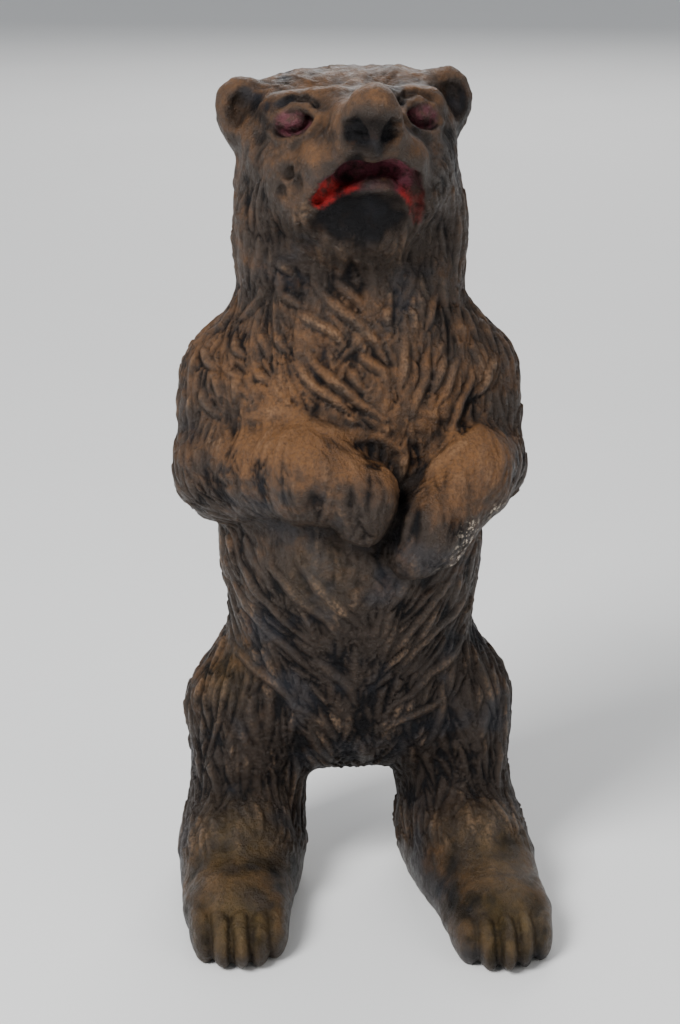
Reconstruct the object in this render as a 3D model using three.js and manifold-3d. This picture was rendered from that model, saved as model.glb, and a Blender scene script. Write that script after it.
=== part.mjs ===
// A cast iron still bank in the form of a standing bear. It is two hollow half castings that meet on an
// upright parting plane, and one long machine screw that draws them together from the back.
// Millimetres, +Z up. The bear looks along -Y, and +X is the side of its left paw. The origin is on the
// floor, under the middle of the bank's box.

import * as THREE from "three";
import { mergeVertices } from "three/addons/utils/BufferGeometryUtils.js";
import Module from "manifold-3d";

const wasm = await Module();
wasm.setup();

// ---------------------------------------------------------------- driving dimensions

const PARTING_Y = 11.7; // where the halves meet, behind the origin because the feet reach forward
const JOINT_GAP = 0.3; // between the two mating rims
const WALL = 3; // thickness of the castings
const SKIN_STEP = 3.15; // lattice step of the outer skin
const CORE_STEP = 4.7; // lattice step of the hollow
const FLOOR_DEPTH = 6; // how far the forms run below the floor before the soles are cut flat

const HEAD_CENTRE = [-0.9, 0, 138];
const HEAD_TURN = [0, -1.5, 3]; // degrees: the head rolls and turns a little to its left
const LEFT_STEP = 5; // the left foot stands this far in front of the right one
const FOOT = { halfWidth: 9.8, height: 0.74, heelY: 2, heelHalfWidth: 11.5, ballY: -33.7, ballZ: 4.4 };
const TOE_GROOVES = { pitch: 4, count: 4, radius: 0.95 };

const SCREW = {
  z: 62, // height of its axis above the floor
  seatY: 21.2, // seat under the head, behind the parting plane
  length: 38.1, // under the head: 1 1/2 in
  majorR: 2.08, // No. 8-32 thread
  pitch: 0.794,
  threadDepth: 0.45,
  threadLength: 19,
  headR: 3.92,
  headHeight: 3.05,
  seatGap: 0.3, // between the head and its seat
  slotWidth: 1.14,
  slotDepth: 1.7,
};
const POST = { rootR: 6.2, tipR: 4.6, tipY: -1.6, holeDepth: 16.6, holeClearance: 0.06 };
const BACK_BOSS = { r: 6.2, depth: 4.5, holeR: 2.45, seatR: 4.9 };
const COIN_SLOT = { z: 107, width: 32, height: 4.6 };
const LUG = { width: 7, thickness: 2.4, reach: 3.6, root: 9, clearance: 0.8 };

const IRON = new THREE.MeshStandardMaterial({ color: 0x2f251a, roughness: 0.62, metalness: 0.45 });
const STEEL = new THREE.MeshStandardMaterial({ color: 0x4a4038, roughness: 0.5, metalness: 0.85 });

const SIDES = [-1, 1]; // the bear's right side, then its left

// ---------------------------------------------------------------- rounded masses
// A mass is a function that gives a point's distance to its surface, negative inside.

function ball(centre, radii, turn = [0, 0, 0]) {
  const [rx, ry, rz] = radii;
  const unturn = turning(turn).invert();
  const middle = new THREE.Vector3(...centre);
  return (point) => {
    const { x, y, z } = point.clone().sub(middle).applyMatrix4(unturn);
    const reach = Math.hypot(x / rx, y / ry, z / rz);
    const slope = Math.hypot(x / rx ** 2, y / ry ** 2, z / rz ** 2) || 1e-9;
    return (reach * (reach - 1)) / slope;
  };
}

// A round bar from one point to another that tapers from one radius to the other; flatness squeezes it
// in height.
function limb(from, to, startR, endR, flatness = 1) {
  const squeeze = new THREE.Vector3(1, 1, 1 / flatness);
  const start = new THREE.Vector3(...from).multiply(squeeze);
  const along = new THREE.Vector3(...to).multiply(squeeze).sub(start);
  return (point) => {
    const away = point.clone().multiply(squeeze).sub(start);
    const share = THREE.MathUtils.clamp(away.dot(along) / along.lengthSq(), 0, 1);
    const radius = THREE.MathUtils.lerp(startR, endR, share);
    return (away.addScaledVector(along, -share).length() - radius) * flatness;
  };
}

function turning([x, y, z]) {
  const radians = [x, y, z].map(THREE.MathUtils.degToRad);
  return new THREE.Matrix4().makeRotationFromEuler(new THREE.Euler(...radians, "ZYX"));
}

const smoothLower = (a, b, fillet) =>
  Math.min(a, b) - Math.max(fillet - Math.abs(a - b), 0) ** 2 / (4 * fillet);

// Joins masses one after another, each with its own fillet radius: join(first, [mass, fillet], ...).
const join = (first, ...rest) => (point) =>
  rest.reduce((found, [mass, fillet]) => smoothLower(found, mass(point), fillet), first(point));

const carve = (mass, tool, fillet) => (point) => -smoothLower(-mass(point), tool(point), fillet);

const onBothSides = (make) => SIDES.flatMap((side) => make(side));

// ---------------------------------------------------------------- the bear's form
// Here y is measured from the parting plane.

function ear(side) {
  const centre = [side * 18, -1, 149];
  const turn = [0, side * 14, side * 10];
  const dish = ball([centre[0] + side * 0.3, centre[1] - 4.6, centre[2] + 0.6], [3, 3.4, 4.4], turn);
  return carve(ball(centre, [4.8, 3.6, 6.6], turn), dish, 1.2);
}

function headForm() {
  const face = join(
    ball([0, 0, 140.5], [18.8, 17, 15.5]), // skull
    [ball([0, 0.5, 147.2], [16, 12.5, 8]), 5],
    ...onBothSides((side) => [
      [ball([side * 13, -4, 130], [8.2, 10, 13]), 6], // cheek
      [ball([side * 12.5, -6, 145.5], [6.5, 7, 7]), 4], // temple
      [limb([side * 4, -15, 152.4], [side * 14, -10, 150.6], 2.6, 2.6), 4], // brow
    ]),
    [limb([0, -12, 146.5], [0, -27, 150.6], 7, 5.2), 5], // bridge of the muzzle
    ...onBothSides((side) => [[limb([side * 2.6, -27, 147], [side * 9, -19.5, 136.8], 3.7, 3), 3]]), // lip
    [ball([0, -30.6, 153.2], [4.6, 3.2, 3.2]), 1.5], // nose
    [ball([0, -14.5, 131.5], [9.6, 9.5, 7]), 5], // lower jaw
    [ball([0, -19, 133.6], [6.6, 5.2, 2.6]), 3], // lower lip
  );
  const mouth = join(
    limb([-3.2, -26, 141], [3.2, -26, 141], 3.4, 3.4),
    ...onBothSides((side) => [[limb([side * 9, -22, 133.6], [side * 3.2, -26, 141], 1.6, 3.4), 1]]),
  );
  const head = join(
    carve(face, mouth, 1.2),
    ...onBothSides((side) => [
      [ball([side * 10.9, -14.6, 149], [3.4, 2.6, 2.4]), 1], // eye
      [ear(side), 2.5],
    ]),
  );
  const centre = new THREE.Vector3(...HEAD_CENTRE);
  const unturn = turning(HEAD_TURN).invert();
  const raise = new THREE.Vector3(0, 0, centre.z);
  return (point) => head(point.clone().sub(centre).applyMatrix4(unturn).add(raise));
}

function trunkForm() {
  return join(
    ball([0, 1, 97], [28.5, 22, 24]), // chest and shoulders
    [ball([0, -1, 68], [25, 22.5, 26]), 10], // belly
    [ball([0, 2, 42], [24.5, 20.5, 21]), 10], // hips
    [ball([0, 0, 118], [19.5, 17, 20]), 9], // neck ruff
    [ball([0, 21.5, 37], [4.2, 3.6, 5]), 3], // stub of a tail
  );
}

const upperArm = (side) => limb([side * 22.5, 2, 100], [side * 25, -2, 84], 9, 8);

const rightForearm = () =>
  join(
    limb([-24.5, -6, 84], [-9, -20, 88], 9, 9.2),
    [limb([-9, -21, 87], [0, -25, 85], 8, 6.2), 3],
    [ball([0, -25, 80], [4.5, 4.5, 5]), 3],
  );

const leftForearm = () =>
  join(
    limb([24.5, -5, 84], [20, -15, 86], 8.2, 8.5),
    [limb([20, -16, 84], [12, -23, 77], 8, 6.2), 3],
    [limb([12, -23, 77], [9, -23.5, 72], 6, 4.2), 3],
  );

const stepOf = (side) => (side > 0 ? LEFT_STEP : 0);
const splayOf = (side) => side * 3;

function leg(side) {
  const step = stepOf(side);
  const splay = splayOf(side);
  const { halfWidth, height, heelY, heelHalfWidth, ballY, ballZ } = FOOT;
  const toes = [side * 22 + splay, ballY - step, ballZ];
  return [
    [limb([side * 19, 1, 34], [side * 20.5, -1 - step * 0.3, 16], 13, 10.5), 6], // thigh
    [limb([side * 21, 2, 10], [side * 21.5 + splay * 0.2, -12 - step, 9], 11, 10), 5], // ankle
    [limb([side * 22, heelY, 5], toes, heelHalfWidth, halfWidth, height), 5], // foot
  ];
}

const bearForm = join(
  trunkForm(),
  [headForm(), 6],
  ...onBothSides((side) => [[upperArm(side), 6]]),
  [rightForearm(), 4],
  [leftForearm(), 4],
  ...onBothSides(leg),
);

// ---------------------------------------------------------------- surface of a form

// A lattice is laid through the box, and each cell that the surface crosses gets one vertex, at the mean
// of the crossings on its edges. Each lattice edge that the surface crosses gets a four-sided face.
class FormGeometry extends THREE.BufferGeometry {
  constructor(form, box, step) {
    super();
    const count = box.getSize(new THREE.Vector3()).divideScalar(step).ceil().addScalar(1);
    const at = (i, j, k) => new THREE.Vector3(i, j, k).multiplyScalar(step).add(box.min);
    const index = (i, j, k) => i + count.x * (j + count.y * k);
    const depth = new Float64Array(count.x * count.y * count.z);
    for (const [i, j, k] of cells(count)) depth[index(i, j, k)] = form(at(i, j, k));

    const positions = [];
    const vertexOf = new Map();
    for (const [i, j, k] of cells(count.clone().subScalar(1))) {
      const crossings = CELL_EDGES.flatMap(([a, b]) => {
        const low = [i + a[0], j + a[1], k + a[2]];
        const high = [i + b[0], j + b[1], k + b[2]];
        const [from, to] = [depth[index(...low)], depth[index(...high)]];
        return from < 0 === to < 0 ? [] : [at(...low).lerp(at(...high), from / (from - to))];
      });
      if (!crossings.length) continue;
      const mean = crossings.reduce((sum, p) => sum.add(p), new THREE.Vector3());
      vertexOf.set(index(i, j, k), positions.length / 3);
      positions.push(...settle(form, mean.divideScalar(crossings.length), step).toArray());
    }

    const faces = [];
    for (const [i, j, k] of cells(count.clone().subScalar(1))) {
      AXES.forEach((axis, n) => {
        const [u, v] = [AXES[(n + 1) % 3], AXES[(n + 2) % 3]];
        const [from, to] = [depth[index(i, j, k)], depth[index(i + axis[0], j + axis[1], k + axis[2])]];
        if (from < 0 === to < 0) return;
        const around = [[0, 0], [1, 0], [1, 1], [0, 1]].map(([a, b]) =>
          vertexOf.get(index(i - a * u[0] - b * v[0], j - a * u[1] - b * v[1], k - a * u[2] - b * v[2])));
        const [p, q, r, s] = from < 0 ? around : around.reverse();
        faces.push(p, q, r, p, r, s);
      });
    }
    this.setAttribute("position", new THREE.Float32BufferAttribute(positions, 3));
    this.setIndex(faces);
  }
}

const AXES = [[1, 0, 0], [0, 1, 0], [0, 0, 1]];
const CORNERS = [0, 1, 2, 3, 4, 5, 6, 7].map((n) => [n & 1, (n >> 1) & 1, n >> 2]);
const CELL_EDGES = CORNERS.flatMap((a) =>
  AXES.filter((axis) => axis.every((step, n) => !(step && a[n])))
    .map((axis) => [a, a.map((value, n) => value + axis[n])]));

function* cells(count) {
  for (let k = 0; k < count.z; k++)
    for (let j = 0; j < count.y; j++)
      for (let i = 0; i < count.x; i++) yield [i, j, k];
}

// Moves a vertex along the form's slope onto its surface, by no more than a third of a step.
function settle(form, point, step) {
  const nudge = step / 20;
  const here = form(point);
  const slope = new THREE.Vector3(...AXES.map((axis) =>
    (form(point.clone().addScaledVector(new THREE.Vector3(...axis), nudge)) - here) / nudge));
  const travel = THREE.MathUtils.clamp(-here / Math.max(slope.length(), 0.3), -step / 3, step / 3);
  return point.addScaledVector(slope.normalize(), travel);
}

// ---------------------------------------------------------------- solids to cut and join

function solidOf(geometry) {
  const bare = new THREE.BufferGeometry().setAttribute("position", geometry.getAttribute("position"));
  bare.setIndex(geometry.index);
  const merged = mergeVertices(bare);
  return new wasm.Manifold(new wasm.Mesh({
    numProp: 3,
    vertProperties: merged.attributes.position.array,
    triVerts: new Uint32Array(merged.index.array),
  }));
}

function geometryOf(solid) {
  const { vertProperties, triVerts } = solid.getMesh();
  return new THREE.BufferGeometry()
    .setAttribute("position", new THREE.BufferAttribute(vertProperties, 3))
    .setIndex(new THREE.BufferAttribute(triVerts, 1));
}

// The main body of a solid, without any stray crumbs where the form is thin.
const largest = (solid) => solid.decompose().sort((a, b) => b.volume() - a.volume())[0];

const boxBetween = (low, high) => {
  const box = new THREE.Box3(new THREE.Vector3(...low), new THREE.Vector3(...high));
  const size = box.getSize(new THREE.Vector3());
  return solidOf(new THREE.BoxGeometry(...size).translate(...box.getCenter(new THREE.Vector3())));
};

// A round bar along Y between two y values, on the screw's axis.
function barOnScrewAxis(fromY, toY, fromR, toR = fromR, segments = 24) {
  const bar = new THREE.CylinderGeometry(toR, fromR, toY - fromY, segments);
  return solidOf(bar.translate(0, (fromY + toY) / 2, SCREW.z));
}

// ---------------------------------------------------------------- the castings

const REACH = 60; // past the bank on every side
const FORM_BOX = new THREE.Box3(new THREE.Vector3(-40, -52, -FLOOR_DEPTH), new THREE.Vector3(40, 31, 165));

const aboveFloor = boxBetween([-REACH, -REACH, 0], [REACH, REACH, 180]);
const skin = solidOf(new FormGeometry(bearForm, FORM_BOX, SKIN_STEP)).intersect(aboveFloor);
const hollowForm = (point) => bearForm(point) + WALL;
const hollow = largest(solidOf(new FormGeometry(hollowForm, FORM_BOX, CORE_STEP)))
  .intersect(boxBetween([-REACH, -REACH, WALL], [REACH, REACH, 180]));

const frontOfParting = boxBetween([-REACH, -REACH, 0], [REACH, -JOINT_GAP / 2, 180]);
const behindParting = boxBetween([-REACH, JOINT_GAP / 2, 0], [REACH, REACH, 180]);

// One groove between two toes: the front half of a ring laid over the rounded end of the foot.
function toeGroove(side, offset) {
  const { halfWidth, height, ballY, ballZ } = FOOT;
  const centre = [side * 22 + splayOf(side) + offset, ballY - stepOf(side), ballZ];
  const ring = new THREE.TorusGeometry(Math.sqrt(halfWidth ** 2 - offset ** 2), TOE_GROOVES.radius, 6, 28);
  ring.rotateY(Math.PI / 2).scale(1, 1, height).translate(...centre);
  const ahead = boxBetween([-REACH, -REACH, -REACH], [REACH, centre[1] - 3, REACH]);
  return solidOf(ring).intersect(ahead);
}

const toeGrooves = () => onBothSides((side) =>
  Array.from({ length: TOE_GROOVES.count }, (_, n) =>
    toeGroove(side, (n - (TOE_GROOVES.count - 1) / 2) * TOE_GROOVES.pitch)));

function frontCasting() {
  const post = barOnScrewAxis(-24, POST.tipY, POST.rootR, POST.tipR);
  const threadedHole = barOnScrewAxis(
    POST.tipY - POST.holeDepth, POST.tipY + 1, SCREW.majorR + POST.holeClearance);
  const half = skin.intersect(frontOfParting).subtract(hollow)
    .add(post.intersect(skin))
    .subtract(threadedHole);
  return toeGrooves().reduce((casting, groove) => casting.subtract(groove), half);
}

// A lug on the back casting's rim: its root is one with the wall, and its tongue reaches into the front
// casting, clear of the wall there, and keeps the two in line.
function lug(side, z) {
  const corners = [-1, 1].flatMap((end) => [0, -LUG.reach].map((y) => [y, z + (end * LUG.width) / 2]));
  const touches = (x) => corners.some(([y, height]) =>
    hollowForm(new THREE.Vector3(side * x, y, height)) > -LUG.clearance);
  const outer = Array.from({ length: 400 }, (_, n) => n * 0.1).find(touches);
  const across = (x) => [side * (outer - LUG.thickness), side * x].sort((a, b) => a - b);
  const between = ([low, high], fromY, toY) =>
    boxBetween([low, fromY, z - LUG.width / 2], [high, toY, z + LUG.width / 2]);
  const tongue = between(across(outer), -LUG.reach, JOINT_GAP / 2 + 1);
  const root = between(across(outer + LUG.clearance + WALL / 2), JOINT_GAP / 2, LUG.root);
  return tongue.add(root);
}

function backCasting() {
  const boss = barOnScrewAxis(SCREW.seatY - BACK_BOSS.depth - WALL, SCREW.seatY + 4, BACK_BOSS.r);
  const clearanceHole = barOnScrewAxis(0, 40, BACK_BOSS.holeR);
  const spotFace = barOnScrewAxis(SCREW.seatY, 40, BACK_BOSS.seatR);
  const shell = skin.intersect(behindParting).subtract(hollow);
  const lugs = onBothSides((side) => [lug(side, 96), lug(side, 40)]);
  return lugs.reduce((casting, tab) => casting.add(tab), shell)
    .add(boss.intersect(skin))
    .subtract(clearanceHole)
    .subtract(spotFace)
    .subtract(coinSlot());
}

// The slot is a stadium in the X-Z plane, cut straight through the back wall.
function coinSlot() {
  const { width, height, z } = COIN_SLOT;
  const half = (width - height) / 2;
  const outline = new THREE.Shape()
    .absarc(half, 0, height / 2, -Math.PI / 2, Math.PI / 2)
    .absarc(-half, 0, height / 2, Math.PI / 2, (3 * Math.PI) / 2);
  const cutter = new THREE.ExtrudeGeometry(outline, { depth: 30, bevelEnabled: false, curveSegments: 5 });
  return solidOf(cutter.rotateX(Math.PI / 2).translate(0, 40, z));
}

// ---------------------------------------------------------------- the screw

// The thread is a V wound round the shank: the radius falls from the crest by how far a point is, along
// the axis, from the nearest turn.
function threadedShank() {
  const rings = Math.round((SCREW.threadLength / SCREW.pitch) * 2);
  const shank = new THREE.CylinderGeometry(SCREW.majorR, SCREW.majorR, SCREW.threadLength, 12, rings);
  const position = shank.getAttribute("position");
  for (let n = 0; n < position.count; n++) {
    const [x, y, z] = [position.getX(n), position.getY(n), position.getZ(n)];
    const turn = Math.atan2(z, x) / (2 * Math.PI);
    const phase = THREE.MathUtils.euclideanModulo(y / SCREW.pitch - turn, 1);
    const radius = Math.hypot(x, z) - SCREW.threadDepth * (1 - Math.abs(2 * phase - 1));
    const scale = Math.hypot(x, z) > 1e-6 ? radius / Math.hypot(x, z) : 0;
    position.setXYZ(n, x * scale, y, z * scale);
  }
  return solidOf(shank.translate(0, SCREW.seatY - SCREW.length + SCREW.threadLength / 2, SCREW.z));
}

function screw() {
  const dome = new THREE.Path().moveTo(0, -0.4).lineTo(SCREW.headR, -0.4).lineTo(SCREW.headR, 0.5)
    .quadraticCurveTo(SCREW.headR - 0.4, SCREW.headHeight, 0, SCREW.headHeight);
  const headSeat = SCREW.seatY + SCREW.seatGap + 0.4;
  const head = solidOf(new THREE.LatheGeometry(dome.getPoints(6), 24).translate(0, headSeat, SCREW.z));
  const plainShank = barOnScrewAxis(
    SCREW.seatY - SCREW.length + SCREW.threadLength - 0.5, SCREW.seatY + 1, SCREW.majorR);
  const halfSlot = SCREW.slotWidth / 2;
  const slotFloor = headSeat + SCREW.headHeight - SCREW.slotDepth;
  const slot = boxBetween([-10, slotFloor, SCREW.z - halfSlot], [10, slotFloor + 10, SCREW.z + halfSlot]);
  return head.add(plainShank).add(threadedShank()).subtract(slot);
}

// ---------------------------------------------------------------- the bank

function piece(name, solid, material) {
  const mesh = new THREE.Mesh(geometryOf(solid), material);
  mesh.name = name;
  return mesh;
}

const bank = new THREE.Group();
bank.add(
  piece("front_casting", frontCasting(), IRON),
  piece("back_casting", backCasting(), IRON),
  piece("assembly_screw", screw(), STEEL),
);
bank.position.y = PARTING_Y;

export default bank;
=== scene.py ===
"""Looks of a cast iron still bank in the form of a standing bear with crossed forearms.

The bank is two hollow half castings and the long screw that draws them together. A casting forks into legs,
arms, ears and an open mouth, and one grid of two parameters can't cover such a form. So the skin of the
castings is made another way: rounded masses are blended into one field of distances, the surface where that
field is zero is taken off a fine lattice as whole arrays, and the locks of fur are strips carried along paths
over that surface. The screw and the floor are grids of two parameters.

Lengths in the form are millimetres, with y measured from the plane where the halves meet; meshes are metres
in the frame of the solids.
"""

import logging
import math
from dataclasses import dataclass, field
from enum import Enum
from typing import Callable, Iterable, Protocol, Sequence

import bpy
import numpy as np
from mathutils import Matrix, Vector


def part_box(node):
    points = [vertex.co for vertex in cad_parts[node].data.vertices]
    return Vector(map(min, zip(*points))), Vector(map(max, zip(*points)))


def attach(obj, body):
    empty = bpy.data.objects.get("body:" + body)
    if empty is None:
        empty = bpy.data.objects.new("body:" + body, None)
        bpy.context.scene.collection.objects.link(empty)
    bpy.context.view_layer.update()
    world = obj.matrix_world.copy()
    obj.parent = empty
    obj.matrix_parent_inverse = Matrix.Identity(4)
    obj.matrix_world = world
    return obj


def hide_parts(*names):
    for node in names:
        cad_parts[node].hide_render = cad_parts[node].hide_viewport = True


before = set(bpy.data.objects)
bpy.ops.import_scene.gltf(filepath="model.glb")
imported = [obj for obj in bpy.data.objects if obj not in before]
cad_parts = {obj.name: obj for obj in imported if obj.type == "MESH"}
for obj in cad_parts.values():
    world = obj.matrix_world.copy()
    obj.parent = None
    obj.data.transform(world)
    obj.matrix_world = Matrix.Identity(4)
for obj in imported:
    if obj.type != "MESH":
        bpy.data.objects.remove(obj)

log = logging.getLogger("bear_bank")

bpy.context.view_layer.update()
MM = 0.001
JOINT_GAP = 0.3  # between the two rims
WALL = 3.0  # thickness of the castings
SEAT_Y = 21.2  # seat under the screw's head
PARTING_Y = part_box("front_casting")[1].y / MM + JOINT_GAP / 2
SCREW_AXIS_Z = (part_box("assembly_screw")[0].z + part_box("assembly_screw")[1].z) / 2 / MM
SIDES = (-1, 1)

Triple = tuple[float, float, float]
Colour = tuple[float, float, float]
Line = tuple[tuple[float, float], ...]


# ------------------------------------------------------------------ rounded masses


class Mass(Protocol):
    """Anything that can tell how far points are from its surface."""

    def distance(self, points: np.ndarray) -> np.ndarray:
        """Distances in millimetres, negative inside."""


def turning(turn: Triple) -> np.ndarray:
    """Rotation matrix for turns in degrees about x, then y, then z."""
    (cx, cy, cz), (sx, sy, sz) = np.cos(np.radians(turn)), np.sin(np.radians(turn))
    about_x = np.array([[1, 0, 0], [0, cx, -sx], [0, sx, cx]])
    about_y = np.array([[cy, 0, sy], [0, 1, 0], [-sy, 0, cy]])
    about_z = np.array([[cz, -sz, 0], [sz, cz, 0], [0, 0, 1]])
    return (about_z @ about_y @ about_x).astype(np.float32)


@dataclass(frozen=True)
class Ball:
    """An ellipsoid, given by its centre, its three radii and its turn."""

    centre: Triple
    radii: Triple
    turn: Triple = (0, 0, 0)

    def distance(self, points: np.ndarray) -> np.ndarray:
        """The point's reach in radii, less one, over the slope of that reach."""
        at = (points - np.float32(self.centre)) @ turning(self.turn)
        scaled = at / np.float32(self.radii)
        reach = np.sqrt(np.einsum("ij,ij->i", scaled, scaled))
        steep = scaled / np.float32(self.radii)
        slope = np.sqrt(np.einsum("ij,ij->i", steep, steep)) + 1e-9
        return reach * (reach - 1) / slope


@dataclass(frozen=True)
class Limb:
    """A round bar from one point to another that tapers between two radii; flatness squeezes its height."""

    start: Triple
    end: Triple
    start_radius: float
    end_radius: float
    flatness: float = 1.0

    def distance(self, points: np.ndarray) -> np.ndarray:
        """Distance to the nearest point of the bar's middle line, less the radius there."""
        squeeze = np.float32((1, 1, 1 / self.flatness))
        start = np.float32(self.start) * squeeze
        along = np.float32(self.end) * squeeze - start
        away = points * squeeze - start
        share = np.clip(away @ along / (along @ along), 0, 1)
        gap = away - share[:, None] * along
        radius = self.start_radius + (self.end_radius - self.start_radius) * share
        return (np.sqrt(np.einsum("ij,ij->i", gap, gap)) - radius) * self.flatness


def smooth_lower(a: np.ndarray, b: np.ndarray, fillet: float) -> np.ndarray:
    """The lower of two distances, rounded where they are within a fillet of each other."""
    return np.minimum(a, b) - np.maximum(fillet - np.abs(a - b), 0) ** 2 / (4 * fillet)


class Action(Enum):
    """What a mass does to the masses before it."""

    JOIN = "join"
    CARVE = "carve"


@dataclass(frozen=True)
class Stage:
    """One mass, how it is worked in, and the radius of the fillet."""

    mass: Mass
    fillet: float
    action: Action = Action.JOIN


@dataclass(frozen=True)
class Form:
    """Masses worked in one after another, and where the whole stands."""

    first: Mass
    stages: tuple[Stage, ...]
    centre: Triple = (0, 0, 0)
    turn: Triple = (0, 0, 0)
    base: Triple = (0, 0, 0)

    def distance(self, points: np.ndarray) -> np.ndarray:
        """Each stage joins or carves its mass with its own fillet."""
        at = (points - np.float32(self.centre)) @ turning(self.turn) + np.float32(self.base)
        found = self.first.distance(at)
        for stage in self.stages:
            own = stage.mass.distance(at)
            if stage.action is Action.JOIN:
                found = smooth_lower(found, own, stage.fillet)
            else:
                found = -smooth_lower(-found, own, stage.fillet)
        return found


def on_both_sides(make: Callable[[int], Iterable[Stage]]) -> tuple[Stage, ...]:
    """The stages that a function gives for the right side, then those for the left."""
    return tuple(stage for side in SIDES for stage in make(side))


def slope_of(form: Mass, points: np.ndarray, nudge: float = 0.12) -> np.ndarray:
    """Unit outward normals of a form's field, from differences along the three axes."""
    here = form.distance(points)
    axes = np.eye(3, dtype=np.float32) * np.float32(nudge)
    slope = np.stack([form.distance(points + axis) - here for axis in axes], axis=1)
    return slope / (np.linalg.norm(slope, axis=1, keepdims=True) + 1e-9)


# ------------------------------------------------------------------ the bear's form


def front_of(form: Mass, places: np.ndarray) -> np.ndarray:
    """Where rays that come from the front at (x, z) places meet a form's surface, as y."""
    points = np.stack([places[:, 0], np.full(len(places), -55.0), places[:, 1]], 1).astype(np.float32)
    for _ in range(45):
        points[:, 1] += np.clip(form.distance(points), -1, 12) * 0.8
    return points[:, 1]


def strap(form: Mass, places: Sequence[tuple[float, float]], radius: float, sink: float, fillet: float,
          action: Action = Action.JOIN) -> tuple[Stage, ...]:
    """A cord laid over the front of a form.

    Args:
        form: what it lies on, in the same frame as the places.
        places: its knots as (x, z) pairs.
        radius: the cord's radius.
        sink: how far its middle lies under the surface.
        fillet: the radius of the fillets along it.
        action: whether it stands proud or is a groove.

    Returns:
        One stage for each length between two knots.
    """
    flat = np.array(places, np.float32)
    depth = front_of(form, flat) + sink
    knots = [(float(x), float(y), float(z)) for (x, z), y in zip(flat, depth)]
    return tuple(Stage(Limb(a, b, radius, radius), fillet, action) for a, b in zip(knots, knots[1:]))


SKULL = Ball((0, 0, 140.5), (18.8, 17, 15.5))
CHEST = Ball((0, 1, 97), (28.5, 22, 24))


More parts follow.
